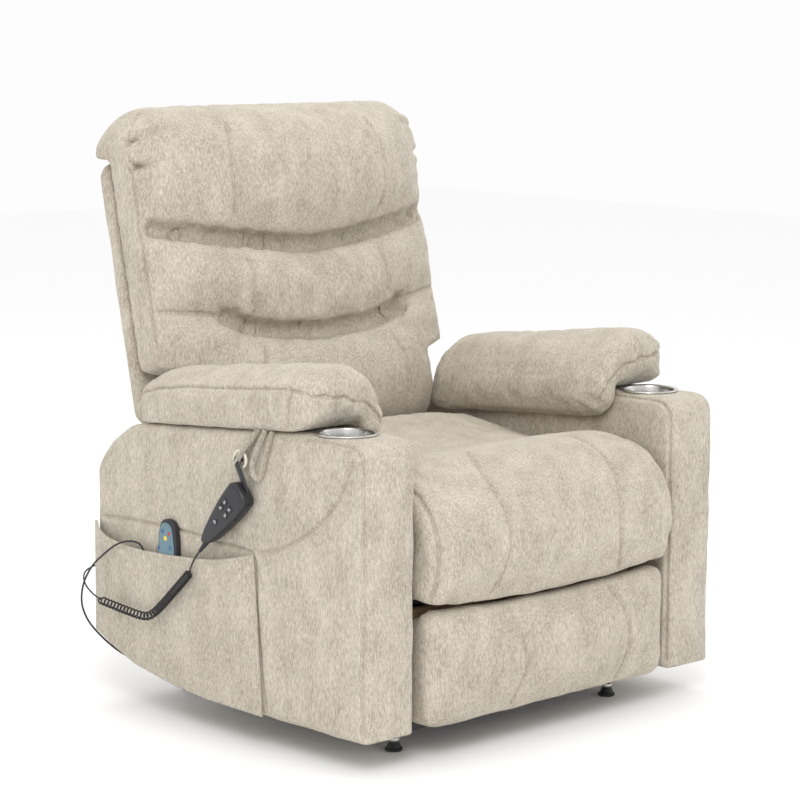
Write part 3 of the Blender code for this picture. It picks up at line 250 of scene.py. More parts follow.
def inflate(ob, held, limit, pressure=4.0, grow=0.02):
    """Fills the cover by cloth simulation: held(point) is 1 where the cover is fixed, 0 where it is free."""
    rest = coordinates(ob)
    group = ob.vertex_groups.new(name="held")
    for v in ob.data.vertices:
        weight = held(v.co - SHIFT)
        if weight > 0.01:
            group.add([v.index], min(1.0, weight), "REPLACE")
    step = ob.modifiers.new("fill", "CLOTH")
    cloth = step.settings
    cloth.quality = 4
    cloth.mass = 0.3
    cloth.tension_stiffness = cloth.compression_stiffness = 12
    cloth.shear_stiffness = 4
    cloth.bending_stiffness = 0.6
    cloth.use_pressure = True
    cloth.uniform_pressure_force = pressure
    cloth.shrink_min = -grow
    cloth.vertex_group_mass = "held"
    cloth.effector_weights.gravity = 0
    scene = bpy.context.scene
    for number in range(1, 21):
        scene.frame_set(number)
    deps = bpy.context.evaluated_depsgraph_get()
    shaped = ob.evaluated_get(deps).data
    co = np.empty(len(rest) * 3)
    shaped.vertices.foreach_get("co", co)
    moved = co.reshape(-1, 3) - rest
    far = np.linalg.norm(moved, axis=1)
    moved *= np.minimum(1.0, limit / np.maximum(far, 1e-9))[:, None]
    ob.modifiers.clear()
    ob.vertex_groups.clear()
    write_coordinates(ob, rest + moved)
    scene.frame_set(1)


def surface(ob):
    bm = bmesh.new()
    bm.from_mesh(ob.data)
    tree = BVHTree.FromBMesh(bm)
    bm.free()
    return tree


def traced(tree, points, aim=None, step=0.003):
    """The line through the points, laid on the surface along aim, or onto its nearest place."""
    laid = []
    for p in smooth_line(points, step):
        p = p + SHIFT
        if aim is None:
            place, normal, _, _ = tree.find_nearest(p)
        else:
            place, normal, _, _ = tree.ray_cast(p - Vector(aim) * 0.6, Vector(aim))
        if place is not None and (not laid or (place - laid[-1][0]).length < 0.05):
            laid.append((place, normal))
    return laid


def rows_beside(tree, line, offsets):
    """Lines beside a traced one, each at its own distance along the surface."""
    rows = []
    for offset in offsets:
        row = []
        for i, (p, normal) in enumerate(line):
            ahead = line[min(i + 1, len(line) - 1)][0] - line[max(i - 1, 0)][0]
            if ahead.length < 1e-6:
                continue
            place, out, _, _ = tree.find_nearest(p + ahead.cross(normal).normalized() * offset)
            row.append((place, out))
        rows.append(row)
    return rows


def refine(ob, lines, reach, rounds=1):
    """Splits the mesh's edges near the lines, so that a narrow seam can be pressed in."""
    tree = KDTree(sum(len(line) for line in lines))
    for k, (p, _) in enumerate(pair for line in lines for pair in line):
        tree.insert(p, k)
    tree.balance()
    bm = bmesh.new()
    bm.from_mesh(ob.data)
    for turn in range(rounds):
        near = reach / (turn + 1)
        close = {v for v in bm.verts if tree.find(v.co)[2] < near}
        edges = [e for e in bm.edges if e.verts[0] in close and e.verts[1] in close]
        bmesh.ops.subdivide_edges(bm, edges=edges, cuts=1, use_grid_fill=True, smooth=1.0,
                                  smooth_falloff="LINEAR")
        odd = [f for f in bm.faces if len(f.verts) > 4]
        bmesh.ops.triangulate(bm, faces=odd)
    bm.to_mesh(ob.data)
    bm.free()


def normals_of(ob):
    out = np.empty(len(ob.data.vertices) * 3)
    ob.data.vertices.foreach_get("normal", out)
    return out.reshape(-1, 3)


def press(ob, lines, depth, width):
    """Presses channels of that depth and half width into the surface along the lines."""
    depths = [depth] * len(lines) if isinstance(depth, float) else depth
    tree = KDTree(sum(len(line) for line in lines))
    ends = []
    for line, deep in zip(lines, depths):
        for k, (p, _) in enumerate(line):
            tree.insert(p, len(ends))
            ends.append(deep * min(1.0, (k + 1) / 4, (len(line) - k) / 4))
    tree.balance()
    co = coordinates(ob)
    move = np.zeros(len(co))
    for i, p in enumerate(co):
        _, k, near = tree.find(p)
        if near < width * 2.6:
            move[i] = ends[k] * math.exp(-(near / width) ** 2)
    write_coordinates(ob, co - normals_of(ob) * move[:, None])


def fold(ob, start, end, height, width):
    """Raises, or with a negative height sinks, a soft fold that dies out towards its end."""
    start, end = np.array(Vector(start) + SHIFT), np.array(Vector(end) + SHIFT)
    run = end - start
    co = coordinates(ob)
    t = (co - start) @ run / (run @ run)
    inside = np.clip(t, 0.0, 1.0)
    near = np.linalg.norm(co - start - inside[:, None] * run, axis=1)
    move = height * (1.0 - inside) ** 0.7 * np.exp(-(near / width) ** 2)
    write_coordinates(ob, co + normals_of(ob) * move[:, None])


def ripple(ob, height, size, where=None):
    """Slow unevenness of stuffed cloth."""
    co = coordinates(ob)
    move = np.zeros(len(co))
    for i, place in enumerate(co):
        p = Vector(place)
        much = height if where is None else height * where(p - SHIFT)
        if much:
            move[i] = much * (noise.noise(p / size) + 0.5 * noise.noise(p / size * 2.3))
    write_coordinates(ob, co + normals_of(ob) * move[:, None])


def stitches(name, rows, body, mat, length=0.0042, gap=0.0020, radius=0.00050):
    """Sewn stitches, one after another, along rows on the surface."""
    one = bmesh.new()
    bmesh.ops.create_cone(one, segments=5, radius1=radius * 0.4, radius2=radius, depth=length / 3,
                          cap_ends=True,
                          matrix=Matrix.Translation((0, 0, -length / 3)))
    bmesh.ops.create_cone(one, segments=5, radius1=radius, radius2=radius * 0.4, depth=length / 3,
                          cap_ends=True,
                          matrix=Matrix.Translation((0, 0, length / 6)))
    pattern = bpy.data.meshes.new("stitch")
    one.to_mesh(pattern)
    one.free()
    bm = bmesh.new()
    for row in rows:
        if len(row) < 3:
            continue
        even = smooth_line([p for p, _ in row[::2]], length + gap)
        tree = KDTree(len(row))
        for k, (p, _) in enumerate(row):
            tree.insert(p, k)
        tree.balance()
        for p, q in zip(even, even[1:]):
            out = row[tree.find(p)[1]][1]
            turn = (q - p).to_track_quat("Z", "Y").to_matrix().to_4x4()
            placed = Matrix.Translation((p + q) / 2 + out * radius * 0.3) @ turn
            pattern.transform(placed)
            bm.from_mesh(pattern)
            pattern.transform(placed.inverted())
    ob = finish_mesh(name, bm, body, smooth=180, placed=True)
    set_material(ob, mat)
    bpy.data.meshes.remove(pattern)
    return ob


def sew(ob, name, body, seams, thread, rows=(-0.0042, 0.0042)):
    """Sews seams into a cover. Each seam is (points, aim, kind): "double", "single" or "plain"."""
    tree = surface(ob)
    lines = [(traced(tree, points, aim), kind) for points, aim, kind in seams]
    lines = [(line, kind) for line, kind in lines if len(line) > 2]
    refine(ob, [line for line, _ in lines], 0.011, 2)
    tree = surface(ob)
    middles = [line for line, _ in lines]
    press(ob, middles, [0.0052 if kind == "double" else 0.0058 for _, kind in lines], 0.0034)
    sewn = []
    for line, kind in lines:
        if kind != "plain":
            sewn += rows_beside(tree, line, rows if kind == "double" else rows[1:])
    if sewn:
        press(ob, sewn, 0.0013, 0.0015)
        tree = surface(ob)
        on = [[tree.find_nearest(p)[:2] for p, _ in row] for row in sewn]
        stitches(name, on, body, thread)
    ob.data.shade_smooth()


# ---- Materials ----

def nodes_of(name, color, roughness, metallic=0.0):
    mat = bpy.data.materials.new(name)
    mat.use_nodes = True
    shader = mat.node_tree.nodes["Principled BSDF"]
    shader.inputs["Base Color"].default_value = (*color, 1.0)
    shader.inputs["Roughness"].default_value = roughness
    shader.inputs["Metallic"].default_value = metallic
    return mat, mat.node_tree, shader


def add_node(tree, kind, **values):
    node = tree.nodes.new(kind)
    for key, value in values.items():
        if key in node.inputs:
            node.inputs[key].default_value = value
        else:
            setattr(node, key.lower(), value)
    return node


def grain(tree, size, detail=2.0, stretch=(1, 1, 1), turn=(0, 0, 0), rough=0.5):
    """A noise of that grain size in metres, on the piece's own coordinates."""
    place = add_node(tree, "ShaderNodeTexCoord")
    shape = add_node(tree, "ShaderNodeMapping")
    shape.inputs["Rotation"].default_value = turn
    shape.inputs["Scale"].default_value = [1.0 / (size * s) for s in stretch]
    tree.links.new(place.outputs["Object"], shape.inputs["Vector"])
    made = add_node(tree, "ShaderNodeTexNoise", Detail=detail, Scale=1.0, Roughness=rough)
    tree.links.new(shape.outputs["Vector"], made.inputs["Vector"])
    return made.outputs["Fac"]


def ramp(tree, source, low, high, first=0.0, last=1.0):
    node = add_node(tree, "ShaderNodeMapRange")
    node.inputs["From Min"].default_value = low
    node.inputs["From Max"].default_value = high
    node.inputs["To Min"].default_value = first
    node.inputs["To Max"].default_value = last
    tree.links.new(source, node.inputs["Value"])
    return node.outputs["Result"]


def combine(tree, kind, one, two):
    node = add_node(tree, "ShaderNodeMath")
    node.operation = kind
    for socket, value in zip(node.inputs, (one, two)):
        if isinstance(value, float):
            socket.default_value = value
        else:
            tree.links.new(value, socket)
    return node.outputs[0]


def blend_colors(tree, share, first, second):
    node = tree.nodes.new("ShaderNodeMix")
    node.data_type = "RGBA"
    tree.links.new(share, node.inputs["Factor"])
    for socket, value in ((node.inputs[6], first), (node.inputs[7], second)):
        if isinstance(value, tuple):
            socket.default_value = (*value, 1.0)
        else:
            tree.links.new(value, socket)
    return node.outputs[2]


def add_bump(tree, shader, source, strength, distance):
    node = add_node(tree, "ShaderNodeBump")
    node.inputs["Strength"].default_value = strength
    node.inputs["Distance"].default_value = distance
    tree.links.new(source, node.inputs["Height"])
    tree.links.new(node.outputs["Normal"], shader.inputs["Normal"])


def chenille(name, light, dark, nap=(1, 1, 1)):
    """Heathered chenille: fine slubs along the nap, pale and dark fibres, and soft worn patches."""
    mat, tree, shader = nodes_of(name, light, 0.93)
    shader.inputs["Sheen Weight"].default_value = 0.25
    shader.inputs["Sheen Roughness"].default_value = 0.45
    shader.inputs["Sheen Tint"].default_value = (1.0, 0.96, 0.88, 1.0)
    shader.inputs["Specular IOR Level"].default_value = 0.2
    slub = grain(tree, 0.0024, 3.0, [1.0 + 3.0 * n for n in nap], rough=0.6)
    fibre = grain(tree, 0.0016, 2.0, [1.0 + 0.8 * n for n in nap], rough=0.7)
    patch = grain(tree, 0.045, 6.0, (1, 1, 1.8), rough=0.65)
    share = combine(tree, "ADD", ramp(tree, slub, 0.36, 0.64, 0.0, 0.44), ramp(tree, fibre, 0.34, 0.66, 0.0,
                                                                               0.34))
    share = combine(tree, "ADD", share, ramp(tree, patch, 0.33, 0.67, -0.03, 0.25))
    color = blend_colors(tree, share, dark, light)
    tree.links.new(color, shader.inputs["Base Color"])
    rough = combine(tree, "ADD", slub, combine(tree, "MULTIPLY", fibre, 0.8))
    add_bump(tree, shader, rough, 0.55, 0.0009)
    return mat


def speckled(name, color, roughness, size=0.0012, strength=0.15, metallic=0.0, spread=0.25):
    """Moulded plastic, powder coat or metal with a fine texture and slow changes of gloss."""
    mat, tree, shader = nodes_of(name, color, roughness, metallic)
    fine = grain(tree, size, 2.0)
    slow = grain(tree, 0.05, 3.0)
    tint = blend_colors(tree, slow, tuple(c * (1 - spread * 0.5) for c in color),
                        tuple(min(1.0, c * (1 + spread * 0.5)) for c in color))
    tree.links.new(tint, shader.inputs["Base Color"])
    tree.links.new(ramp(tree, slow, 0.25, 0.75, roughness * 0.85, min(1.0, roughness * 1.15)),
                   shader.inputs["Roughness"])
    add_bump(tree, shader, fine, strength, size * 0.35)
    return mat


def brushed(name, color, roughness, axis=2):
    """Steel brushed along one axis, with fine streaks."""
    mat, tree, shader = nodes_of(name, color, roughness, 1.0)
    stretch = [1, 1, 1]
    stretch[axis] = 0.12
    streak = grain(tree, 0.004, 4.0, stretch)
    tree.links.new(ramp(tree, streak, 0.3, 0.7, roughness * 0.7, roughness * 1.3),
                   shader.inputs["Roughness"])
    add_bump(tree, shader, streak, 0.12, 0.0002)
    return mat


def timber(name):
    mat, tree, shader = nodes_of(name, (0.5, 0.34, 0.19), 0.65)
    figure = grain(tree, 0.010, 5.0, (7, 1, 1), rough=0.6)
    tree.links.new(blend_colors(tree, figure, (0.36, 0.23, 0.12), (0.60, 0.43, 0.25)),
                   shader.inputs["Base Color"])
    add_bump(tree, shader, figure, 0.2, 0.0004)
    return mat


MATERIALS = {}


def finishes():
    """Every finish of the chair, made once."""
    if not MATERIALS:
        s = bpy.context.scene.recliner
        light, dark = tuple(s.cloth_light), tuple(s.cloth_dark)
        MATERIALS.update({
            "cloth": chenille("beige_chenille", light, dark, (0, 0, 1)),
            "strap": chenille("strap_webbing", tuple(c * 0.85 for c in light), tuple(c * 0.7 for c in dark),
                              (0, 0, 1)),
            "thread": speckled("sewing_thread", tuple(c * 0.62 for c in light), 0.8, 0.0006, 0.3),
            "coat": speckled("black_powder_coat", (0.022, 0.022, 0.024), 0.42, 0.0008, 0.3),
            "spring": speckled("sprung_deck_cloth", (0.05, 0.05, 0.055), 0.9, 0.0015, 0.5),
            "plastic": speckled("charcoal_plastic", tuple(s.plastic), 0.42, 0.0007, 0.35),
            "key": speckled("key_rubber", (0.012, 0.012, 0.014), 0.30, 0.0010, 0.1),
            "mark": speckled("pale_print", (0.75, 0.76, 0.78), 0.5, 0.0008, 0.05),
            "jacket": speckled("cable_jacket", (0.012, 0.012, 0.014), 0.34, 0.0015, 0.1),
            "membrane": speckled("teal_membrane", (0.115, 0.20, 0.24), 0.38, 0.0008, 0.1),
            "blue": speckled("blue_print", (0.03, 0.09, 0.30), 0.4, 0.0008, 0.05),
            "red": speckled("red_print", (0.50, 0.03, 0.02), 0.4, 0.0008, 0.05),
            "yellow": speckled("yellow_print", (0.75, 0.55, 0.03), 0.4, 0.0008, 0.05),
            "ring": speckled("cream_plastic", (0.72, 0.68, 0.58), 0.35, 0.0010, 0.1),
            "steel": brushed("brushed_steel", (0.62, 0.61, 0.59), 0.26),
            "rod": brushed("chromed_rod", (0.70, 0.70, 0.71), 0.14),
            "board": timber("plywood"),
            "foot": speckled("moulded_glide", (0.014, 0.014, 0.015), 0.5, 0.0010, 0.3),
        })
    return MATERIALS


# ---- Cords: the curly handset cord and the thin lead of the small remote ----

HANDSET_LEAD = [(-0.4475, 0.0445, 0.3195), (-0.4520, 0.052, 0.307), (-0.4550, 0.057, 0.295),
                (-0.4575, 0.0595, 0.2832)]
COIL_ROUTE = [(-0.4575, 0.0602, 0.2805), (-0.458, 0.085, 0.257), (-0.459, 0.125, 0.220),
              (-0.459, 0.155, 0.196), (-0.459, 0.180, 0.186), (-0.459, 0.225, 0.187), (-0.458, 0.270,
                                                                                       0.190),
              (-0.4575, 0.309, 0.193)]
HANDSET_TAIL = [(-0.4574, 0.3105, 0.1932), (-0.457, 0.326, 0.199), (-0.456, 0.345, 0.208),
                (-0.450, 0.363, 0.218), (-0.437, 0.377, 0.228), (-0.418, 0.382, 0.234), (-0.404, 0.377,
                                                                                         0.237),
                (-0.400, 0.3665, 0.238)]
MASSAGE_ROUTE = [(-0.4395, 0.196, 0.262), (-0.4400, 0.203, 0.288), (-0.4440, 0.2125, 0.3055),
                 (-0.4530, 0.230, 0.3085), (-0.4595, 0.255, 0.300), (-0.463, 0.285, 0.280),
                 (-0.464, 0.320, 0.252), (-0.462, 0.348, 0.216), (-0.456, 0.362, 0.178), (-0.446, 0.358,
                                                                                          0.146),
                 (-0.432, 0.342, 0.120), (-0.414, 0.322, 0.096), (-0.399, 0.302, 0.082),
                 (-0.390, 0.286, 0.0815), (-0.386, 0.2785, 0.0865)]
COIL_WIRE = 0.0030
COIL_TURN = 0.0063  # radius of the middle of the wire's turns
TURNS_TIGHT, TURNS_LOOSE = 27, 17
BEND_AT = 0.44  # share of the coil's run where its turns open up
TURN_POINTS = 16
MASSAGE_WIRE = 0.0036


def curly_points():
    """The middle line of the curly cord: straight lead, turns, and tail."""
    axis = smooth_line(COIL_ROUTE, 0.002)
    total = TURNS_TIGHT + TURNS_LOOSE
    count = total * TURN_POINTS
    points = smooth_line(HANDSET_LEAD[:-1] + [(-0.4570, 0.0590, 0.2860)], 0.004)
    side = Vector((1, 0, 0))
    for i in range(count + 1):
        turn = i / TURN_POINTS
        share = BEND_AT * turn / TURNS_TIGHT if turn < TURNS_TIGHT else \
            BEND_AT + (1 - BEND_AT) * (turn - TURNS_TIGHT) / TURNS_LOOSE
        at = share * (len(axis) - 1)
        k = min(int(at), len(axis) - 2)
        centre = axis[k].lerp(axis[k + 1], at - k)
        ahead = (axis[min(k + 3, len(axis) - 1)] - axis[max(k - 2, 0)]).normalized()
        out = (side - ahead * side.dot(ahead)).normalized()
        other = ahead.cross(out)
        radius = COIL_TURN * min(1.0, 0.3 + turn, 0.3 + (total - turn))
        angle = 2 * math.pi * turn
        points.append(centre + out * math.cos(angle) * radius + other * math.sin(angle) * radius)
    return points + smooth_line(HANDSET_TAIL[1:], 0.005)


def cord_curve(name, points, diameter, nodes, mat):
    curve = bpy.data.curves.new(name, "CURVE")
    curve.dimensions = "3D"
    curve.bevel_depth = diameter / 2
    curve.bevel_resolution = 2
    curve.use_fill_caps = True
    spline = curve.splines.new("POLY")
    spline.points.add(len(points) - 1)
    for point, place in zip(spline.points, points):
        point.co = (*(place + SHIFT), 1.0)
    spline.use_smooth = True
    curve.materials.append(mat)
    ob = bpy.data.objects.new(name, curve)
    bpy.context.scene.collection.objects.link(ob)
    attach(ob, "carriage")
    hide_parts(*nodes)
    return ob, sum((q - p).length for p, q in zip(points, points[1:]))


class CHAIR_OT_cords(bpy.types.Operator):
    """Curly handset cord and the thin lead of the small remote"""
    bl_idname = "recliner.cords"
    bl_label = "Cords"

    def execute(self, context):
        jacket = finishes()["jacket"]
        points = curly_points()
        ob, length = cord_curve("curly_cord", points, COIL_WIRE, ["handset_coil", "handset_lead",
                                                                  "handset_tail"],
                                jacket)
        points = smooth_line(MASSAGE_ROUTE, 0.006)
        ob, length = cord_curve("remote_lead", points, MASSAGE_WIRE, ["massage_cord"], jacket)
        return {"FINISHED"}


# ---- Seat ----

SEAT_HALF = 0.298
SEAT_BOTTOM = 0.3214
SEAT_SEAM = [(-0.116, -0.245, 0.486), (-0.136, -0.300, 0.480), (-0.142, -0.345, 0.448), (-0.134, -0.368,
                                                                                         0.400),
             (-0.130, -0.374, 0.350), (-0.140, -0.362, 0.290), (-0.152, -0.352, 0.262)]


def seat_profile(x):
    """The seat's side section at x: dished seat, then the roll that turns down in front."""
    side = abs(x) / SEAT_HALF
    low = 0.2475 + 0.020 * side ** 2
    drop = 0.012 * side ** 4
    return [(0.188, SEAT_BOTTOM), (0.194, 0.400), (0.186, 0.460 - drop), (0.150, 0.476 - drop),
            (0.060, 0.466 - drop), (-0.040, 0.455 - drop), (-0.100, 0.453 - drop), (-0.160, 0.466 - drop),
            (-0.215, 0.480 - drop), (-0.265, 0.482 - drop), (-0.315, 0.464 - drop), (-0.350,
                                                                                     0.428 - drop * 0.7),
            (-0.369, 0.380), (-0.373, 0.335), (-0.366, 0.292), (-0.352, 0.264), (-0.335, low),
            (-0.316, low + 0.004), (-0.3035, 0.266), (-0.3035, SEAT_BOTTOM)]


class CHAIR_OT_seat(bpy.types.Operator):
    """Seat cushion with its waterfall front roll"""
    bl_idname = "recliner.seat"
    bl_label = "Seat"

    def execute(self, context):
        bm = bmesh.new()
        sections = []
        for share in (-1, -0.94, -0.8, -0.55, -0.28, 0, 0.28, 0.55, 0.8, 0.94, 1):
            x = share * SEAT_HALF
            pull = 0.020 if abs(share) == 1 else 0.004 if abs(share) == 0.94 else 0.0
            section = []
            for y, z in seat_profile(x):
                free = z > SEAT_BOTTOM + 0.02 or y < -0.31
                toward = (Vector((-0.12, 0.37)) - Vector((y, z))).normalized() * pull * free
                section.append((x, y + toward.x, max(z + toward.y, 0.244)))
            sections.append(section)
        loft(bm, sections)
        ob = finish_mesh("seat_upholstery", bm, None)
        even_mesh(ob, 0.0075)
        soften(ob, 3)

        def held(p):
            edge = max(0.0, (abs(p.x) - 0.272) / 0.020)
            below = 1.0 if p.z < 0.335 and p.y > -0.32 else 0.0
            return max(edge, below, 1.0 if p.z < 0.262 else 0.0, 1.0 if p.y > 0.165 else 0.0)

        inflate(ob, held, 0.010, 3.0, 0.015)
        subdivide(ob)
        ripple(ob, 0.0022, 0.075, lambda p: 1.0 if p.z > 0.34 or p.y < -0.31 else 0.0)
        for sign in (-1, 1):
            fold(ob, (sign * 0.292, -0.215, 0.470), (sign * 0.235, -0.150, 0.475), -0.004, 0.012)
            fold(ob, (sign * 0.290, -0.352, 0.300), (sign * 0.255, -0.370, 0.330), -0.003, 0.012)
        seams = []
        for sign in (-1, 1):
            line = [(-sign * x + (0.012 if sign > 0 else 0.0), y, z) for x, y, z in SEAT_SEAM]
            seams.append((line, None, "double"))
            seams.append(([(sign * 0.290, 0.10, 0.452), (sign * 0.291, -0.10, 0.446), (sign * 0.291, -0.22,
                                                                                       0.466),
                           (sign * 0.291, -0.31, 0.450), (sign * 0.291, -0.362, 0.390),
                           (sign * 0.291, -0.366, 0.320), (sign * 0.290, -0.345, 0.270)], None, "plain"))
        sew(ob, "seat_stitching", "carriage", seams, finishes()["thread"])
        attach(ob, "carriage")
        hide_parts("seat_cushion")
        set_material(ob, finishes()["cloth"])
        return {"FINISHED"}


# ---- Footrest ----

class CHAIR_OT_footrest(bpy.types.Operator):
    """Footrest pad on its swinging board"""
    bl_idname = "recliner.footrest"
    bl_label = "Footrest"

    def execute(self, context):
        half, rear, front, low = 0.291, -0.2755, -0.352, 0.0575
        top_mid, top_side = 0.2435, 0.256

        def shape(u, v, w):
            x, d, h = rounded((u, v, w), (half, 0.5, 0.5), (0.030, 0.30, 0.12))
            top = top_mid + (top_side - top_mid) * (x / half) ** 2 * (d < 0) - 0.006 * (d > 0)
            crown = 0.010 * (1 - (x / half) ** 2) * (1 - (2 * h) ** 2) * (d < 0)
            y = front + (d + 0.5) * (rear - front) - crown
            return x, y, low + (h + 0.5) * (top - low)

        bm = bmesh.new()
        block(bm, 22, shape)
        ob = finish_mesh("footrest_upholstery", bm, None)
        even_mesh(ob, 0.0065)
        soften(ob, 2)
        inflate(ob, lambda p: 1.0 if p.y > -0.315 or p.z < 0.066 or p.z > 0.240 or abs(p.x) > 0.282 else 0.0,
                0.009, 3.0, 0.01)
        subdivide(ob)
        ripple(ob, 0.0020, 0.070, lambda p: 1.0 if p.y < -0.300 else 0.0)
        seams = []
        for x in (-0.112, 0.150):
            lean = 0.030
            seams.append(([(x - 0.010 * math.copysign(1, x), -0.36, 0.243), (x + lean * 0.6, -0.37, 0.195),
                           (x + lean, -0.37, 0.145), (x + lean * 0.7, -0.37, 0.095), (x + lean * 0.3, -0.36,
                                                                                      0.066)],
                          (0, 1, 0), "double"))
        sew(ob, "footrest_stitching", "footrest", seams, finishes()["thread"])
        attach(ob, "footrest")
        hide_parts("footrest_pad")
        set_material(ob, finishes()["cloth"])
        return {"FINISHED"}


# ---- Back ----

BACK_HALF, BACK_LOWER_HALF = 0.345, 0.256
BACK_LOW, BACK_HIGH = -0.110, 0.538
FRAME_REAR = -0.0595  # front of the steel frame, measured behind the back's rear face
CREASE_HEAD = ((0.0, 0.262), (0.10, 0.272), (0.20, 0.288), (0.28, 0.304), (0.345, 0.322))
CREASE_LUMBAR = ((0.0, 0.104), (0.10, 0.110), (0.17, 0.124), (0.22, 0.146), (0.28, 0.160), (0.345, 0.170))


def back_place(x, along, behind):
    """A point from its place across, up and behind the rear face of the leaning back."""
    return Vector((x, 0, 0)) + BACK_REF + UP * along + BEHIND * behind


def back_share(p):
    """The place up the back and behind its rear face of a point of the chair's frame."""
    offset = p - BACK_REF
    return offset.dot(UP), offset.dot(BEHIND)


def crease(table, x):
    return float(np.interp(abs(x), [a for a, _ in table], [b for _, b in table]))


def back_front(x, along):
    """How thick the stuffing stands in front of the frame: three tiers with creases between them."""
    side = min(1.0, abs(x) / BACK_HALF)
    fill = (1 - side ** 3.0) ** 0.7
    head, lumbar = crease(CREASE_HEAD, x), crease(CREASE_LUMBAR, x)
    if along > head:
        low, high, base, rise = head, BACK_HIGH + 0.055, 0.078, 0.058
    elif along > lumbar:
        low, high, base, rise = lumbar, head, 0.084, 0.042
    else:
        low, high, base, rise = BACK_LOW - 0.10, lumbar, 0.096, 0.040
    place = (along - (low + high) / 2) / ((high - low) / 2)
    bump = max(0.0, 1 - abs(place) ** 2.4) ** 0.5
    return 0.046 + (base - 0.046 + rise * bump) * fill


def on_back(x, along):
    """A point of the back's front, to lay a seam from."""
    return back_place(x, along, FRAME_REAR - back_front(x, along))


class CHAIR_OT_back(bpy.types.Operator):
    """Back cushion in three tiers, with its gusset"""
    bl_idname = "recliner.back"
    bl_label = "Back cushion"

    def execute(self, context):
        def shape(u, v, w):
            along = BACK_LOW + (w + 1) / 2 * (BACK_HIGH - BACK_LOW)
            narrow = min(1.0, max(0.0, (along - 0.052) / 0.020))
            half = BACK_LOWER_HALF + (BACK_HALF - BACK_LOWER_HALF) * narrow ** 0.5
            x = u * half
            corner = 0.075
            over_x = max(0.0, abs(x) - (BACK_HALF - corner)) / corner
            over_z = max(0.0, along - (BACK_HIGH - corner)) / corner
            if over_x > 0 and over_z > 0:
                keep = max(over_x, over_z) / math.hypot(over_x, over_z)
                x = math.copysign(BACK_HALF - corner + corner * over_x * keep, x)
                along = BACK_HIGH - corner + corner * over_z * keep
            front = FRAME_REAR - back_front(x, along)
            if along < 0.0:
                front += 0.075 * (along / BACK_LOW) ** 2
            rear = -0.046 if abs(x) > 0.232 else FRAME_REAR
            if along > 0.462:
                rear = -0.006
            elif along < 0.068:
                rear = FRAME_REAR
            t = (v + 1) / 2
            top_drop = 0.0
            if along > BACK_HIGH - 0.09:
                rise = (along - (BACK_HIGH - 0.09)) / 0.09
                top_drop = 0.040 * rise * abs(2 * t - 1.1) ** 2.2
            behind = front + (rear - front) * t
            return back_place(x, along - top_drop, behind)

        bm = bmesh.new()
        block(bm, 60, shape)
        ob = finish_mesh("back_upholstery", bm, None)
        even_mesh(ob, 0.0078)
        soften(ob, 2)

        def held(p):
            along, behind = back_share(p)
            near = min(abs(along - crease(CREASE_HEAD, p.x)), abs(along - crease(CREASE_LUMBAR, p.x)))
            line = max(0.0, 1.0 - near / 0.012) if behind < -0.12 else 0.0
            return max(line, 1.0 if behind > -0.085 else 0.0, 1.0 if abs(p.x) > 0.330 else 0.0,
                       1.0 if along < -0.02 else 0.0, 1.0 if along < 0.09 and abs(p.x) > 0.24 else 0.0)

        inflate(ob, held, 0.012, 3.5, 0.02)
        subdivide(ob)
        ripple(ob, 0.0026, 0.085, lambda p: 1.0 if back_share(p)[1] < -0.10 else 0.3)
        tree = surface(ob)
        deep = []
        for table, reach in ((CREASE_HEAD, 0.335), (CREASE_LUMBAR, 0.225)):
            deep.append(traced(tree, [on_back(x, crease(table, x)) for x in np.linspace(-reach, reach,
                                                                                        15)]))
        press(ob, deep, 0.026, 0.0120)
        for sign in (-1, 1):
            for start, end in (((0.345, 0.498), (0.316, 0.530)), ((0.345, 0.470), (0.278, 0.488)),
                               ((0.341, 0.428), (0.270, 0.424))):
                first, last = on_back(sign * start[0], start[1]), on_back(sign * end[0], end[1])
                fold(ob, first, last, -0.0180, 0.0075)
                lift = UP * 0.013
                fold(ob, first + lift, last + lift, 0.0065, 0.010)
                fold(ob, first - lift, last - lift, 0.0055, 0.010)
            fold(ob, on_back(sign * 0.198, 0.130), on_back(sign * 0.185, 0.215), -0.0110, 0.0100)
            fold(ob, on_back(sign * 0.215, 0.150), on_back(sign * 0.235, 0.225), -0.0030, 0.012)
            fold(ob, on_back(sign * 0.160, 0.120), on_back(sign * 0.140, 0.195), -0.0030, 0.010)
            fold(ob, on_back(sign * 0.325, 0.320), on_back(sign * 0.265, 0.300), -0.0040, 0.007)
        seams = [([p - SHIFT for p, _ in line[::4]], None, "plain") for line in deep]
        for sign in (-1, 1):
            edge = [back_place(sign * 0.300, 0.534, -0.105), back_place(sign * 0.335, 0.505, -0.110),
                    back_place(sign * 0.345, 0.470, -0.112)]
            edge += [back_place(sign * 0.346, a, -0.108) for a in (0.40, 0.32, 0.24, 0.16, 0.10)]
            seams.append((edge, None, "plain"))
            seams.append(([on_back(sign * 0.168, 0.505), on_back(sign * 0.180, 0.440), on_back(sign * 0.180,
                                                                                               0.370),
                           on_back(sign * 0.174, 0.318)], None, "double"))
            seams.append(([on_back(sign * 0.163, 0.252), on_back(sign * 0.160, 0.210), on_back(sign * 0.168,
                                                                                               0.158)],
                          None, "double"))
            seams.append(([on_back(sign * 0.152, 0.088), on_back(sign * 0.170, 0.040), on_back(sign * 0.176,
                                                                                               -0.040)],
                          None, "double"))
            seams.append(([on_back(sign * x, a) for x, a in ((0.338, 0.170), (0.300, 0.164), (0.245, 0.155),
                                                             (0.222, 0.146))], None, "plain"))
        sew(ob, "back_stitching", "back", seams, finishes()["thread"])
        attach(ob, "back")
        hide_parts("back_cushion")
        set_material(ob, finishes()["cloth"])
        return {"FINISHED"}


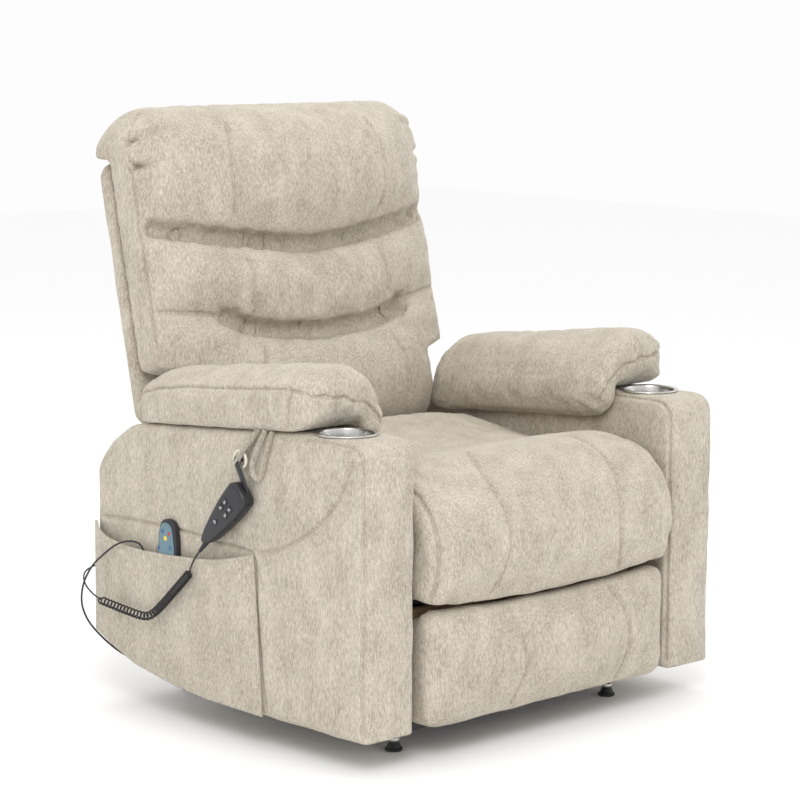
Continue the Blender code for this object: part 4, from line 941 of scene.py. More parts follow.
class CHAIR_OT_outer_back(bpy.types.Operator):
    """Upholstered panel that closes the back from behind, and the valance below it"""
    bl_idname = "recliner.outer_back"
    bl_label = "Outer back"

    def execute(self, context):
        low, high, lower, lower_half = -0.026, 0.452, -0.170, 0.294

        def shape(u, v, w):
            x, d, h = rounded((u, v, w), (0.340, 0.0185, 0.5), (0.040, 0.0120, 0.06))
            along = low + (h + 0.5) * (high - low)
            behind = -0.0200 + d - 0.004 * (d > 0) * (abs(x) / 0.34) ** 4 + 0.003 * (d > 0)
            return back_place(x, along, behind)

        def lower_shape(u, v, w):
            x, d, h = rounded((u, v, w), (lower_half, 0.012, 0.5), (0.012, 0.008, 0.06))
            along = lower + (h + 0.5) * (low + 0.03 - lower)
            return back_place(x, along, -0.0225 + d)

        bm = bmesh.new()
        block(bm, 20, shape)
        extra = bmesh.new()
        block(extra, 16, lower_shape)
        mesh = bpy.data.meshes.new("lower")
        extra.to_mesh(mesh)
        extra.free()
        bm.from_mesh(mesh)
        bpy.data.meshes.remove(mesh)
        ob = finish_mesh("outer_back_upholstery", bm, None)
        even_mesh(ob, 0.0060)
        soften(ob, 2)
        ripple(ob, 0.0016, 0.090)
        seams = []
        for sign in (-1, 1):
            seams.append(([back_place(sign * 0.322, a, 0.02) for a in (0.435, 0.30, 0.15, 0.0)],
                          tuple(-BEHIND), "double"))
        seams.append(([back_place(x, 0.432, 0.02) for x in (-0.322, -0.1, 0.1, 0.322)], tuple(-BEHIND),
                      "double"))
        sew(ob, "outer_back_stitching", "back", seams, finishes()["thread"])
        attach(ob, "back")
        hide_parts("outer_back_panel")
        set_material(ob, finishes()["cloth"])

        def valance(u, v, w):
            x, d, h = rounded((u, v, w), (0.295, 0.0079, 0.5), (0.006, 0.005, 0.05))
            return x, 0.33435 + d, 0.0985 + (h + 0.5) * 0.146

        bm = bmesh.new()
        block(bm, 16, valance)
        ob = finish_mesh("valance_cloth", bm, "carriage", ["rear_valance"])
        even_mesh(ob, 0.0060)
        ripple(ob, 0.0010, 0.060)
        seams = [([(-0.28, 0.345, 0.232), (0.0, 0.345, 0.232), (0.28, 0.345, 0.232)], (0, -1, 0), "single")]
        sew(ob, "valance_stitching", "carriage", seams, finishes()["thread"])
        set_material(ob, finishes()["cloth"])
        return {"FINISHED"}


# ---- Arms ----

ARM_OUTLINE = [(0.1310, 0.0660), (0.0470, 0.0590), (-0.1000, 0.0563), (-0.336, 0.0563), (-0.336, 0.300),
               (-0.336, 0.508), (-0.3333, 0.5218), (-0.3255, 0.5335), (-0.3138, 0.5413), (-0.300, 0.544),
               (-0.175, 0.544), (0.150, 0.5185), (0.215, 0.5135), (0.262, 0.503), (0.312, 0.472),
               (0.338, 0.445), (0.3525, 0.4226), (0.3525, 0.1293), (0.299, 0.105), (0.238, 0.084)]
ARM_SEAM = [(-0.3345, 0.068), (-0.3345, 0.250), (-0.3345, 0.430), (-0.3340, 0.505), (-0.3225, 0.5300),
            (-0.3000, 0.5385), (-0.2400, 0.5400), (-0.1900, 0.5395)]


class CHAIR_OT_arms(bpy.types.Operator):
    """Both arms, with the side panel's seams and the hole of the cup"""
    bl_idname = "recliner.arms"
    bl_label = "Arms"

    def execute(self, context):
        for sign, across in SIDES:
            bm = bmesh.new()
            slab(bm, ARM_OUTLINE, sign * ARM_INNER, sign * ARM_OUTER, 0.013, 4)
            ob = finish_mesh(f"arm_upholstery_{across}", bm, None)
            even_mesh(ob, 0.0058)
            soften(ob, 2)
            middle = (ARM_INNER + ARM_OUTER) / 2
            for v in ob.data.vertices:
                p = v.co - SHIFT
                dome = max(0.0, 1 - ((abs(p.x) - middle) / 0.056) ** 2)
                if p.y < -0.30 and p.z > 0.06:
                    v.co.y -= 0.0045 * dome * min(1.0, (-0.30 - p.y) / 0.03)
                side = max(0.0, 1 - ((p.y - 0.02) / 0.34) ** 2) * max(0.0, 1 - ((p.z - 0.30) / 0.25) ** 2)
                if abs(p.x) > middle:
                    v.co.x += sign * 0.0035 * side * min(1.0, (abs(p.x) - middle) / 0.05)
            ripple(ob, 0.0016, 0.070, lambda p: 1.0 if p.z < 0.52 else 0.3)
            face = sign * (ARM_OUTER + 0.02)
            aim = (-sign, 0, 0)
            seams = [([(sign * (ARM_OUTER - 0.003), y, z) for y, z in ARM_SEAM], None, "double"),
                     ([(sign * (ARM_INNER + 0.003), y, z) for y, z in ARM_SEAM], None, "plain"),
                     ([(face, y, z) for y, z in ((-0.080, 0.334), (-0.110, 0.340), (-0.145, 0.352), (-0.211,
                                                                                                     0.386),
                                                 (-0.270, 0.441), (-0.305, 0.502), (-0.312, 0.520))], aim,
                                                 "plain"),
                     ([(face, y, z) for y, z in ((-0.079, 0.326), (-0.082, 0.240), (-0.090, 0.150),
                                                 (-0.103, 0.066))], aim, "double"),
                     ([(face, y, z) for y, z in ((0.335, 0.334), (0.230, 0.340), (0.120, 0.341), (0.020,
                                                                                                  0.338),
                                                 (-0.075, 0.332))], aim, "plain")]
            sew(ob, f"arm_stitching_{across}", "carriage", seams, finishes()["thread"])
            hole = bmesh.new()
            bmesh.ops.create_cone(hole, cap_ends=True, segments=64, radius1=0.0456, radius2=0.0456,
                                  depth=0.150,
                                  matrix=Matrix.Translation((sign * CUP_X, CUP_Y, ARM_TOP)))
            cutter = finish_mesh("cutter", hole, None, smooth=0)
            step = ob.modifiers.new("hole", "BOOLEAN")
            step.operation = "DIFFERENCE"
            step.solver = "EXACT"
            step.object = cutter
            bake_modifiers(ob)
            bpy.data.objects.remove(cutter, do_unlink=True)
            flat = coordinates(ob)
            own = flat - np.array(SHIFT)
            near = np.hypot(own[:, 0] - sign * CUP_X, own[:, 1] - CUP_Y) < 0.056
            top = near & (own[:, 2] > 0.530)
            flat[top, 2] = np.minimum(flat[top, 2], ARM_TOP + 0.0001)
            write_coordinates(ob, flat)
            ob.data.shade_smooth()
            ob.data.set_sharp_from_angle(angle=math.radians(50))
            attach(ob, "carriage")
            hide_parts(f"arm_{across}")
            set_material(ob, finishes()["cloth"])
        return {"FINISHED"}


def arm_top(y):
    """Height of the arm's top at y."""
    return ARM_TOP - ARM_SLOPE * np.maximum(0.0, y - ARM_SLOPE_FROM)


PAD_STATIONS = ((-0.212, 0.55, 0.012), (-0.207, 0.30, 0.012), (-0.198, 0.14, 0.011), (-0.180, 0.05, 0.009),
                (-0.150, 0.00, 0.006), (-0.080, 0.00, 0.003), (0.000, 0.00, 0.001), (0.080, 0.01, -0.001),
                (0.150, 0.03, -0.004), (0.200, 0.08, -0.008), (0.222, 0.18, -0.010), (0.232, 0.42, -0.010))


class CHAIR_OT_arm_pads(bpy.types.Operator):
    """Pillow pads on the arms, boxed along the outside and draped over the inner edge"""
    bl_idname = "recliner.arm_pads"
    bl_label = "Arm pads"

    def execute(self, context):
        section = [(0.4315, 0.001), (0.4360, 0.010), (0.4400, 0.035), (0.4400, 0.062), (0.4330, 0.076),
                   (0.4150, 0.088), (0.3850, 0.097), (0.3550, 0.099), (0.3250, 0.093), (0.2960, 0.076),
                   (0.2720, 0.046), (0.2620, 0.010), (0.2620, -0.022), (0.2700, -0.044), (0.2860, -0.052),
                   (0.3040, -0.046), (0.3060, -0.020), (0.3062, 0.0012), (0.3400, 0.0010), (0.3900, 0.0010)]
        for sign, across in SIDES:
            bm = bmesh.new()
            sections = []
            for y, shrink, rise in PAD_STATIONS:
                base = arm_top(y)
                lift = 0.020 * max(0.0, (-0.175 - y) / 0.037)
                ring = []
                for x, z in section:
                    if z > 0.002:
                        z = z + (0.045 - z) * shrink + rise
                        x = x + (0.350 - x) * shrink * 0.55
                    elif z < -0.002:
                        z = z * (1 - shrink * 0.6) + lift
                        x = x + (0.306 - x) * shrink * 0.3
                    else:
                        z += lift
                    ring.append((sign * x, y, base + z))
                sections.append(ring)
            loft(bm, sections)
            ob = finish_mesh(f"arm_pad_upholstery_{across}", bm, None)
            even_mesh(ob, 0.0060)
            soften(ob, 3)

            def held(p):
                base = arm_top(p.y)
                under = 1.0 if p.z < base + 0.006 and abs(p.x) > 0.300 else 0.0
                inner = 1.0 if p.z < base and abs(p.x) > 0.296 else 0.0
                line = max(0.0, 1 - abs(p.z - base - 0.068) / 0.008) if abs(p.x) > 0.425 else 0.0
                return max(under, inner, line, 1.0 if p.y > 0.222 else 0.0)

            inflate(ob, held, 0.009, 4.0, 0.03)
            subdivide(ob)
            co = coordinates(ob)
            own = co - np.array(SHIFT)
            base = arm_top(own[:, 1])
            under = (np.abs(own[:, 0]) > ARM_INNER - 0.002) & (own[:, 2] < base + 0.0012)
            co[under, 2] = base[under] + 0.0012
            within = (own[:, 2] < base) & (np.abs(own[:, 0]) > ARM_INNER - 0.0022) & ~under
            co[within, 0] = SHIFT.x + sign * (ARM_INNER - 0.0022)
            write_coordinates(ob, co)
            ripple(ob, 0.0020, 0.055, lambda p: 1.0 if p.z > 0.56 else 0.0)
            for y, z, y2, z2, deep in ((-0.186, 0.588, -0.150, 0.560, 0.0045), (-0.200, 0.606, -0.172,
                                                                                0.635, 0.004),
                                       (-0.192, 0.560, -0.160, 0.548, 0.003)):
                fold(ob, (sign * 0.440, y, z), (sign * 0.438, y2, z2), -deep, 0.008)
            for x, z, x2, z2 in ((0.400, 0.604, 0.392, 0.630), (0.360, 0.596, 0.356, 0.625),
                                 (0.320, 0.585, 0.318, 0.615), (0.285, 0.560, 0.280, 0.590),
                                 (0.272, 0.520, 0.264, 0.545)):
                fold(ob, (sign * x, -0.214, z), (sign * x2, -0.165, z2), -0.0045, 0.0065)
                fold(ob, (sign * (x - 0.016), -0.214, z - 0.002), (sign * (x2 - 0.016), -0.170, z2), 0.0030,
                     0.008)
            seams = [([(sign * 0.440, y, arm_top(y) + h)
                       for y, h in ((0.222, 0.055), (0.190, 0.066), (0.10, 0.072), (0.0, 0.073), (-0.10,
                                                                                                  0.074),
                                    (-0.165, 0.074), (-0.200, 0.070))], None, "plain"),
                     ([(sign * 0.438, -0.203, 0.612), (sign * 0.400, -0.222, 0.604), (sign * 0.350, -0.226,
                                                                                      0.596),
                       (sign * 0.305, -0.222, 0.580), (sign * 0.275, -0.210, 0.552), (sign * 0.266, -0.196,
                                                                                      0.520)],
                      None, "plain"),
                     ([(sign * 0.440, -0.176, 0.618), (sign * 0.440, -0.166, 0.590), (sign * 0.437, -0.160,
                                                                                      0.552)],
                      None, "plain")]
            sew(ob, f"arm_pad_stitching_{across}", "carriage", seams, finishes()["thread"])
            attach(ob, "carriage")
            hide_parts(f"arm_pad_{across}")
            set_material(ob, finishes()["cloth"])
        return {"FINISHED"}


# ---- Side pocket, strap and ring ----

POCKET_LIP = ((0.345, 0.326), (0.315, 0.312), (0.280, 0.302), (0.240, 0.297), (0.190, 0.297), (0.130,
                                                                                               0.299),
              (0.060, 0.304), (0.000, 0.312), (-0.045, 0.322), (-0.076, 0.331))
POCKET_FOOT = ((-0.102, 0.060), (0.047, 0.062), (0.131, 0.069), (0.238, 0.087), (0.299, 0.108), (0.349,
                                                                                                 0.131))


class CHAIR_OT_pocket(bpy.types.Operator):
    """Cloth pocket on the left arm, its lip standing a little open"""
    bl_idname = "recliner.pocket"
    bl_label = "Side pocket"

    def execute(self, context):
        columns, rows = 110, 70
        front_top, front_low, rear = -0.078, -0.100, 0.3485
        lip = sorted(POCKET_LIP)
        foot = sorted(POCKET_FOOT)
        creases = (((0.300, 0.296), (0.222, 0.205), 0.0075, 0.011), ((0.262, 0.285), (0.200, 0.215), 0.0060,
                                                                     0.010),
                   ((0.235, 0.250), (0.190, 0.160), 0.0045, 0.013), ((0.195, 0.285), (0.180, 0.210), 0.0040,
                                                                     0.012),
                   ((0.315, 0.270), (0.255, 0.150), -0.0040, 0.016), ((0.020, 0.300), (0.060, 0.200),
                                                                      0.0025, 0.020),
                   ((0.095, 0.285), (0.110, 0.200), -0.0020, 0.016))
        bm = bmesh.new()
        bmesh.ops.create_grid(bm, x_segments=columns, y_segments=rows, size=1.0)
        for v in bm.verts:
            s, t = (v.co.x + 1) / 2, (v.co.y + 1) / 2
            front = front_low + (front_top - front_low) * t
            y = front + (rear - front) * s
            top = float(np.interp(y, [a for a, _ in lip], [b for _, b in lip]))
            low = float(np.interp(y, [a for a, _ in foot], [b for _, b in foot]))
            z = low + (top - low) * t
            inside = min(1.0, s / 0.10, (1 - s) / 0.07)
            inside = inside * inside * (3 - 2 * inside)
            drop = max(0.0, (z - 0.150) / (top - 0.150)) if z > 0.150 else 0.0
            out = 0.0056 + 0.0125 * inside * drop ** 0.8
            for start, end, height, width in creases:
                first, last = Vector(start), Vector(end)
                run = last - first
                share = min(1.0, max(0.0, (Vector((y, z)) - first).dot(run) / run.length_squared))
                near = (Vector((y, z)) - first - run * share).length
                out += height * (1 - share) ** 0.6 * math.exp(-(near / width) ** 2) * inside
            v.co = (-ARM_OUTER - out, y, z)
        ob = finish_mesh("pocket_cloth", bm, "carriage", ["side_pocket"], smooth=180)
        step = ob.modifiers.new("thickness", "SOLIDIFY")
        step.thickness = 0.0024
        step.offset = 0.0
        bake_modifiers(ob)
        tree = surface(ob)
        hem = traced(tree, [(-0.46, y, z - 0.006) for y, z in POCKET_LIP], (1, 0, 0))
        edge = traced(tree, [(-0.46, front_top + 0.008, 0.320), (-0.46, front_top - 0.010, 0.200),
                             (-0.46, front_low + 0.008, 0.070)], (1, 0, 0))
        press(ob, [edge], 0.0008, 0.0020)
        rows_made = rows_beside(surface(ob), edge, (0.0, 0.006))
        stitches("pocket_stitching", rows_made + [hem], "carriage", finishes()["thread"])
        set_material(ob, finishes()["cloth"])
        return {"FINISHED"}


class CHAIR_OT_strap(bpy.types.Operator):
    """Fabric strap and its ring"""
    bl_idname = "recliner.strap"
    bl_label = "Strap and ring"

    def execute(self, context):
        x = -ARM_OUTER
        strands = ([(x - 0.003, -0.086, 0.540), (x - 0.011, -0.080, 0.524), (x - 0.0175, -0.066, 0.506),
                    (x - 0.0185, -0.055, 0.490), (x - 0.0165, -0.049, 0.4785), (x - 0.011, -0.048, 0.4700),
                    (x - 0.0065, -0.051, 0.4785), (x - 0.006, -0.062, 0.500), (x - 0.006, -0.080, 0.522),
                    (x - 0.003, -0.092, 0.540)],
                   [(x - 0.003, -0.104, 0.541), (x - 0.0125, -0.101, 0.520), (x - 0.0150, -0.092, 0.498),
                    (x - 0.0150, -0.086, 0.480), (x - 0.0140, -0.0885, 0.466), (x - 0.0105, -0.094, 0.460),
                    (x - 0.0080, -0.1005, 0.467), (x - 0.0085, -0.107, 0.485), (x - 0.0085, -0.116, 0.510),
                    (x - 0.003, -0.122, 0.541)])
        bm = bmesh.new()
        for strand in strands:
            points = smooth_line(strand, 0.0022)
            count = len(points)
            tube(bm, points, 0.0048, 12, 0.42,
                 lambda i, n=count: Vector((math.cos(0.35 + 1.1 * i / n), math.sin(0.35 + 1.1 * i / n),
                                            0.25)))
        ob = finish_mesh("handset_strap", bm, "carriage", ["hanger_strap"], smooth=60)
        set_material(ob, finishes()["strap"])
        bm = bmesh.new()
        profile = [(0.0145 + 0.0026 * math.cos(2 * math.pi * k / 16),
                    0.0026 * math.sin(2 * math.pi * k / 16))
                   for k in range(17)]
        turned(bm, profile, 48)
        bmesh.ops.rotate(bm, verts=bm.verts, cent=(0, 0, 0), matrix=Matrix.Rotation(math.radians(90), 3,
                                                                                    "Y"))
        bmesh.ops.translate(bm, verts=bm.verts, vec=(-0.440, -0.052, 0.487))
        ob = finish_mesh("hanger_ring", bm, "carriage", ["strap_ring"], smooth=180)
        set_material(ob, finishes()["ring"])
        return {"FINISHED"}


# ---- Handset ----

HANDSET_TIP, HANDSET_TOP = Vector((0.0, 0.025, 0.339)), Vector((0.0, -0.0725, 0.440))
HANDSET_UP = (HANDSET_TOP - HANDSET_TIP).normalized()
HANDSET_RIGHT = Vector((0.0, HANDSET_UP.z, -HANDSET_UP.y))
HANDSET_FACE = -0.462
HANDSET_HALF = ((0.000, 0.0045), (0.008, 0.0085), (0.022, 0.0130), (0.050, 0.0185), (0.085, 0.0235),
                (0.112, 0.0250), (0.130, 0.0246), (0.1365, 0.0205), (0.1403, 0.0110))
KEYS = ((0.1004, -0.008), (0.1004, 0.008), (0.0854, -0.008), (0.0854, 0.008))
PORT = (0.0554, 0.001)


def on_handset(along, across, x):
    return Vector((x, 0, 0)) + HANDSET_TIP + HANDSET_UP * along + HANDSET_RIGHT * across


def handset_ring(x, inset):
    right = [on_handset(a + (inset if k == 0 else -inset * (k > 6)), max(0.002, h - inset), x)
             for k, (a, h) in enumerate(HANDSET_HALF)]
    left = [on_handset(a + (inset if k == 0 else -inset * (k > 6)), -max(0.002, h - inset), x)
            for k, (a, h) in enumerate(HANDSET_HALF)]
    return right + left[::-1]


class CHAIR_OT_handset(bpy.types.Operator):
    """Handset: two shells, four keys with printed marks, charging port, hook and boot"""
    bl_idname = "recliner.handset"
    bl_label = "Handset"

    def execute(self, context):
        made = finishes()
        split = HANDSET_FACE + 0.0126
        back = HANDSET_FACE + 0.028
        bm = bmesh.new()
        loft(bm, [handset_ring(split, 0.0), handset_ring(HANDSET_FACE + 0.006, 0.0),
                  handset_ring(HANDSET_FACE + 0.0022, 0.0010), handset_ring(HANDSET_FACE + 0.0004, 0.0034),
                  handset_ring(HANDSET_FACE, 0.0070)])
        ob = finish_mesh("handset_front_shell", bm, "carriage", ["handset_casing_front"], smooth=50)
        set_material(ob, made["plastic"])
        bm = bmesh.new()
        loft(bm, [handset_ring(split + 0.0003, 0.0), handset_ring(back - 0.007, 0.0006),
                  handset_ring(back - 0.003, 0.002), handset_ring(back, 0.006)])
        hook_x = -ARM_OUTER - 0.0165
        eye = Vector((hook_x - 0.002, -0.052, 0.487))
        hook = [on_handset(0.128, 0.0, hook_x - 0.002), on_handset(0.1420, 0.0, hook_x - 0.002),
                eye + Vector((0, 0.002, -0.004)), eye]
        tube(bm, smooth_line(hook, 0.003), 0.0062, 12, 0.34)
        tube(bm, smooth_line([eye, Vector((-ARM_OUTER - 0.007, -0.052, 0.487))], 0.003), 0.0038, 12, 1.0,
             lambda i: Vector((0, 0, 1)))
        ob = finish_mesh("handset_back_shell", bm, "carriage", ["handset_casing_back"], smooth=50)
        set_material(ob, made["plastic"])
        marks = bmesh.new()
        for k, (along, across) in enumerate(KEYS):
            bm = bmesh.new()
            edge, face = 0.0050, HANDSET_FACE - 0.0013
            around = ((1, 1), (1, -1), (-1, -1), (-1, 1))
            corners = [on_handset(along + s * edge, across + r * edge, 0) for s, r in around]
            slab(bm, [(c.y, c.z) for c in corners], face, HANDSET_FACE + 0.0045, 0.0007, 2)
            key = finish_mesh(f"key_{k + 1}", bm, f"button_{k + 1}", [f"handset_button_{k + 1}"], smooth=40)
            set_material(key, made["key"])
            bm = bmesh.new()
            out = face - 0.00012
            bars = (((-0.0026, 0.0020), (0.0000, 0.0020)), ((0.0000, 0.0020), (0.0022, -0.0016)),
                    ((-0.0016, -0.0006), (0.0008, -0.0006)), ((-0.0022, -0.0024), (0.0024, -0.0024)))
            for start, end in bars:
                flip = 1 if k in (0, 3) else -1
                p = on_handset(along + start[1], across + start[0] * flip, out)
                q = on_handset(along + end[1], across + end[0] * flip, out)
                tube(bm, [p, p.lerp(q, 0.5), q], 0.00042, 5, 0.4)
            mark = finish_mesh(f"key_mark_{k + 1}", bm, f"button_{k + 1}")
            set_material(mark, made["mark"])
        bm = bmesh.new()
        place = on_handset(PORT[0], PORT[1], HANDSET_FACE - 0.0004)
        bmesh.ops.create_cone(bm, cap_ends=True, segments=32, radius1=0.0058, radius2=0.0052, depth=0.0016)
        bmesh.ops.rotate(bm, verts=bm.verts, cent=(0, 0, 0), matrix=Matrix.Rotation(math.radians(-90), 3,
                                                                                    "Y"))
        bmesh.ops.translate(bm, verts=bm.verts, vec=place)
        port = finish_mesh("charging_port_cover", bm, "carriage", ["handset_usb_port"], smooth=35)
        set_material(port, made["key"])
        arc = [on_handset(PORT[0] + 0.0022 * math.sin(a), PORT[1] + 0.0032 * math.cos(a),
                          HANDSET_FACE - 0.0013)
               for a in np.linspace(0.2, math.pi - 0.2, 9)]
        tube(marks, arc, 0.00042, 5, 0.4)
        tube(marks, [on_handset(PORT[0] - 0.0012, PORT[1] - 0.003, HANDSET_FACE - 0.0013),
                     on_handset(PORT[0] - 0.0012, PORT[1], HANDSET_FACE - 0.0013),
                     on_handset(PORT[0] - 0.0012, PORT[1] + 0.003, HANDSET_FACE - 0.0013)], 0.00042, 5, 0.4)
        mark = finish_mesh("port_mark", marks, "carriage")
        set_material(mark, made["mark"])
        bm = bmesh.new()
        strip = [on_handset(a, -h - 0.0006, HANDSET_FACE + 0.0120) for a, h in ((0.088, 0.0238), (0.104,
                                                                                                  0.0248),
                                                                                (0.118, 0.0250), (0.131,
                                                                                                  0.0244))]
        tube(bm, smooth_line(strip, 0.003), 0.0052, 10, 0.32, lambda i: HANDSET_RIGHT)
        clip = finish_mesh("handset_clip", bm, "carriage", smooth=50)
        set_material(clip, made["plastic"])
        start = on_handset(0.004, 0.0, HANDSET_FACE + 0.0145)
        end = Vector(HANDSET_LEAD[0]) + Vector((-0.0002, 0.0004, -0.0008))
        run = smooth_line([start, start.lerp(end, 0.5), end], 0.0011)
        bm = bmesh.new()
        before = None
        for k, p in enumerate(run):
            share = k / (len(run) - 1)
            radius = 0.0048 - 0.0022 * share + (0.00055 if k % 3 == 1 and k > 2 else -0.0002)
            ring = bmesh.ops.create_circle(bm, segments=16, radius=radius)["verts"]
            turn = (end - start).to_track_quat("Z", "Y").to_matrix()
            bmesh.ops.rotate(bm, verts=ring, cent=(0, 0, 0), matrix=turn)
            bmesh.ops.translate(bm, verts=ring, vec=p)
            edges = list({e for v in ring for e in v.link_edges})
            if before is None:
                bmesh.ops.contextual_create(bm, geom=edges)
            else:
                bmesh.ops.bridge_loops(bm, edges=before + edges)
            before = edges
        bmesh.ops.contextual_create(bm, geom=before)
        boot = finish_mesh("cord_boot", bm, "carriage", ["handset_boot"], smooth=50)
        set_material(boot, made["plastic"])
        return {"FINISHED"}


class CHAIR_OT_remote(bpy.types.Operator):
    """Small remote with a printed membrane, standing in the pocket"""
    bl_idname = "recliner.remote"
    bl_label = "Small remote"

    def execute(self, context):
        made = finishes()
        back = -ARM_OUTER - 0.0035
        face = back - 0.0118
        outline = [(p.x, p.y) for p in smooth_line([(0.170, 0.250), (0.164, 0.300), (0.158, 0.340), (0.150,
                                                                                                     0.356),
                                                    (0.132, 0.3585), (0.118, 0.347), (0.1125, 0.300),
                                                    (0.122, 0.250)], 0.004)]
        bm = bmesh.new()
        slab(bm, outline, back, face, 0.0026, 3)
        ob = finish_mesh("remote_body", bm, "carriage", ["massage_remote_body"], smooth=50)
        set_material(ob, made["plastic"])
        pad = [(p.x, p.y) for p in smooth_line([(0.1645, 0.270), (0.160, 0.300), (0.1545, 0.338), (0.148,
                                                                                                   0.351),
                                                (0.1335, 0.3525), (0.1225, 0.342), (0.1175, 0.300),
                                                (0.126, 0.270)], 0.004)]
        bm = bmesh.new()
        slab(bm, pad, face - 0.0002, face - 0.0011, 0.0003, 2)
        ob = finish_mesh("remote_membrane", bm, "carriage", ["massage_remote_keypad"], smooth=50)
        set_material(ob, made["membrane"])
        for name, color, places in (("remote_marks_blue", "blue", ((0.1475, 0.338, 0.0036), (0.127, 0.311,
                                                                                             0.0036),
                                                                   (0.158, 0.307, 0.0034))),
                                    ("remote_mark_red", "red", ((0.1300, 0.335, 0.0034),)),
                                    ("remote_mark_yellow", "yellow", ((0.1400, 0.326, 0.0042),))):
            bm = bmesh.new()
            for y, z, radius in places:
                if color == "blue":
                    inner = radius * 0.62
                    profile = [(inner, 0.0), (inner, 0.0005), (radius, 0.0005), (radius, 0.0), (inner, 0.0)]
                else:
                    profile = [(0.0, 0.0), (0.0, 0.0006), (radius * 0.8, 0.0006), (radius, 0.0), (0.0, 0.0)]
                other = bmesh.new()
                turned(other, profile, 24)
                bmesh.ops.rotate(other, verts=other.verts, cent=(0, 0, 0),
                                 matrix=Matrix.Rotation(math.radians(-90), 3, "Y"))
                bmesh.ops.translate(other, verts=other.verts, vec=(face - 0.0011, y, z))
                mesh = bpy.data.meshes.new("disc")
                other.to_mesh(mesh)
                other.free()
                bm.from_mesh(mesh)
                bpy.data.meshes.remove(mesh)
            ob = finish_mesh(name, bm, "carriage", smooth=30)
            set_material(ob, made[color])
        return {"FINISHED"}


# ---- Cups, glides and bare parts ----

class CHAIR_OT_cups(bpy.types.Operator):
    """Steel cup holders with a rolled rim"""
    bl_idname = "recliner.cups"
    bl_label = "Cup holders"

    def execute(self, context):
        for sign, across in SIDES:
            top = ARM_TOP + 0.0003
            rim = [(0.0448 + 0.0005, top - 0.0010), (0.0470, top + 0.0002), (0.0512, top + 0.0001)]
            roll = [(0.0506 + 0.0017 * math.cos(a), top + 0.0017 + 0.0017 * math.sin(a))
                    for a in np.linspace(-1.2, 2.4, 9)]
            inner = [(0.0470, top + 0.0030), (0.0448, top + 0.0018), (0.0438, top - 0.0010), (0.0435,
                                                                                              top - 0.030),
                     (0.0432, top - 0.060), (0.0420, top - 0.0665), (0.0380, top - 0.0688), (0.0300,
                                                                                             top - 0.0688),
                     (0.0280, top - 0.0680), (0.0, top - 0.0680)]
            outer = [(0.0, top - 0.0698), (0.0380, top - 0.0698), (0.0435, top - 0.0660), (0.0446,
                                                                                           top - 0.030)]
            bm = bmesh.new()
            turned(bm, outer + rim + roll + inner, 72)
            bmesh.ops.translate(bm, verts=bm.verts, vec=(sign * CUP_X, CUP_Y, 0))
            ob = finish_mesh(f"cup_{across}", bm, "carriage", [f"cup_holder_{across}"], smooth=35)
            set_material(ob, finishes()["steel"])
        return {"FINISHED"}


class CHAIR_OT_bare_parts(bpy.types.Operator):
    """Finishes for the frame, linkage, motors, boards and glides"""
    bl_idname = "recliner.bare_parts"
    bl_label = "Frame and linkage"

    def execute(self, context):
        made = finishes()
        wanted = {"seat_spring_deck": "spring", "seat_frame": "board", "footrest_board": "board",
                  "lift_actuator_rod": "rod", "back_actuator_rod": "rod", "handset_gland": "plastic",
                  "massage_gland": "plastic", "power_supply": "plastic", "lift_actuator_housing": "plastic",
                  "back_actuator_housing": "plastic"}
        for name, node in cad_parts.items():
            if not node.hide_render:
                kind = "foot" if name.startswith("glide") else wanted.get(name, "coat")
                set_material(node, made[kind])
        for name in ("front_left", "front_right", "rear_left", "rear_right"):
            low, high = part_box(f"glide_foot_{name}")
            middle = (low + high) / 2
            radius = (high.x - low.x) / 2
            profile = [(radius * 0.42, 0.0165), (radius * 0.62, 0.0165), (radius * 0.66, 0.0175),
                       (radius * 0.66, 0.0215), (radius * 0.62, 0.0225), (radius * 0.42, 0.0225),
                       (radius * 0.42, 0.0165)]
            bm = bmesh.new()
            turned(bm, profile, 24)
            bmesh.ops.translate(bm, verts=bm.verts, vec=(middle.x, middle.y, 0))
            ob = finish_mesh(f"glide_nut_{name}", bm, "base", placed=True)
            set_material(ob, made["steel"])
        return {"FINISHED"}


# ---- Stage ----

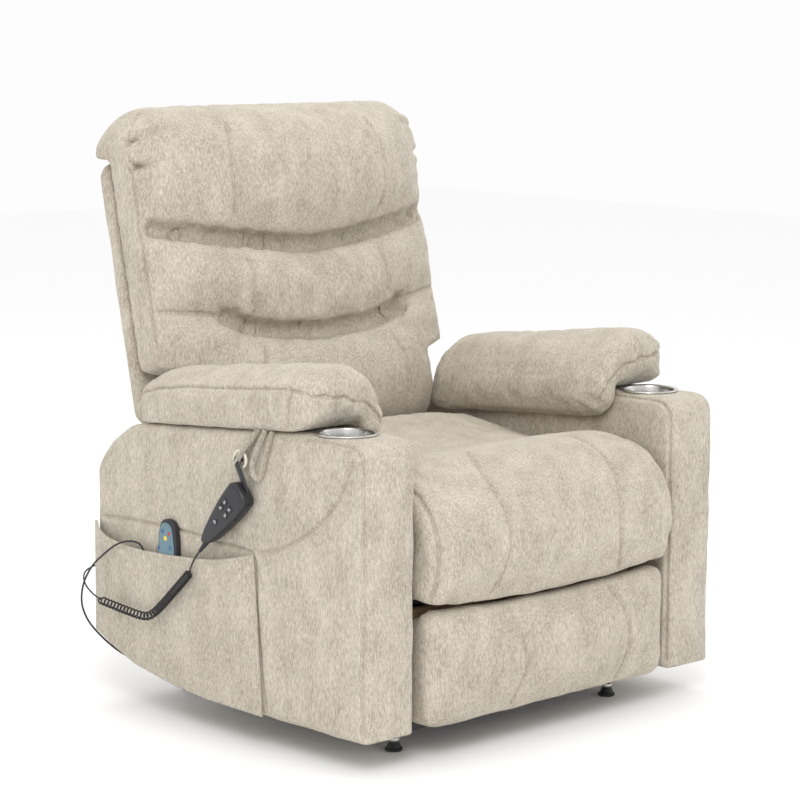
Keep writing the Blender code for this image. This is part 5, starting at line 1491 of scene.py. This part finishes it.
class CHAIR_OT_stage(bpy.types.Operator):
    """Floor, soft light and camera"""
    bl_idname = "recliner.stage"
    bl_label = "Stage"

    def execute(self, context):
        scene = context.scene
        bm = bmesh.new()
        bmesh.ops.create_grid(bm, x_segments=1, y_segments=1, size=9.0)
        floor = finish_mesh("floor", bm, None, smooth=0, placed=True)
        mat, _, shader = nodes_of("pale_floor", (0.97, 0.97, 0.97), 0.9)
        set_material(floor, mat)
        world = bpy.data.worlds.new("studio")
        world.use_nodes = True
        world.node_tree.nodes["Background"].inputs["Color"].default_value = (1.0, 1.0, 1.0, 1.0)
        world.node_tree.nodes["Background"].inputs["Strength"].default_value = scene.recliner.sky
        scene.world = world
        for name, place, size, power in (("key", (-2.6, -2.6, 3.0), 1.8, 70.0), ("fill", (3.2, -2.2, 2.0),
                                                                                 2.4, 9.0),
                                         ("top", (0.2, 0.6, 3.4), 2.6, 26.0)):
            light = bpy.data.lights.new(name, "AREA")
            light.shape = "DISK"
            light.size = size
            light.energy = power
            ob = bpy.data.objects.new(name, light)
            ob.location = place
            aim = Vector((0, 0, 0.5)) - Vector(place)
            ob.rotation_euler = aim.to_track_quat("-Z", "Y").to_euler()
            scene.collection.objects.link(ob)
        turn, pitch, roll = math.radians(-43.757), math.radians(8.627), math.radians(0.432)
        back = Vector((math.sin(turn) * math.cos(pitch), -math.cos(turn) * math.cos(pitch),
                       math.sin(pitch)))
        right = Vector((math.cos(turn), math.sin(turn), 0))
        up = back.cross(right)
        level = right * math.cos(roll) + up * math.sin(roll)
        above = up * math.cos(roll) - right * math.sin(roll)
        data = bpy.data.cameras.new("camera")
        data.sensor_width = 36.0
        data.lens = 120.44
        data.clip_end = 50.0
        camera = bpy.data.objects.new("camera", data)
        spot = Vector((-3.24588, -3.36004, 1.24464)) + SHIFT
        camera.matrix_world = Matrix.Translation(spot) @ Matrix((level, above, back)).transposed().to_4x4()
        scene.collection.objects.link(camera)
        scene.camera = camera
        scene.view_settings.view_transform = "Standard"
        return {"FINISHED"}


class ReclinerSettings(bpy.types.PropertyGroup):
    cloth_light: bpy.props.FloatVectorProperty(name="Pale fibre",
                                               description="Colour of the cloth's pale fibres",
                                               subtype="COLOR", size=3, min=0.0, max=1.0,
                                               default=(0.655, 0.602, 0.510))
    cloth_dark: bpy.props.FloatVectorProperty(name="Dark fibre",
                                              description="Colour of the cloth's dark fibres",
                                              subtype="COLOR", size=3, min=0.0, max=1.0,
                                              default=(0.250, 0.216, 0.162))
    plastic: bpy.props.FloatVectorProperty(name="Handset plastic",
                                           description="Colour of the handset's casing",
                                           subtype="COLOR", size=3, min=0.0, max=1.0,
                                           default=(0.020, 0.020, 0.023))
    sky: bpy.props.FloatProperty(name="Room light", description="Strength of the even light all round",
                                 default=0.98, min=0.0, max=5.0)


OPERATORS = (CHAIR_OT_stage, CHAIR_OT_cords, CHAIR_OT_seat, CHAIR_OT_footrest, CHAIR_OT_back,
             CHAIR_OT_outer_back,
             CHAIR_OT_arms, CHAIR_OT_arm_pads, CHAIR_OT_pocket, CHAIR_OT_strap, CHAIR_OT_handset,
             CHAIR_OT_remote,
             CHAIR_OT_cups, CHAIR_OT_bare_parts)


class CHAIR_PT_panel(bpy.types.Panel):
    """Lists the chair's settings and the pieces that can be built"""
    bl_idname = "CHAIR_PT_panel"
    bl_label = "Lift Recliner"
    bl_space_type = "VIEW_3D"
    bl_region_type = "UI"
    bl_category = "Recliner"

    def draw(self, context):
        column = self.layout.column()
        for name in ReclinerSettings.__annotations__:
            column.prop(context.scene.recliner, name)
        for operator in OPERATORS:
            column.operator(operator.bl_idname)


CLASSES = (ReclinerSettings, *OPERATORS, CHAIR_PT_panel)


def register():
    for item in CLASSES:
        bpy.utils.register_class(item)
    bpy.types.Scene.recliner = bpy.props.PointerProperty(type=ReclinerSettings)


def unregister():
    del bpy.types.Scene.recliner
    for item in reversed(CLASSES):
        bpy.utils.unregister_class(item)


def main():
    register()
    for operator in OPERATORS:
        group, name = operator.bl_idname.split(".")
        getattr(getattr(bpy.ops, group), name)()
    bpy.context.view_layer.update()


if __name__ == "__main__":
    main()
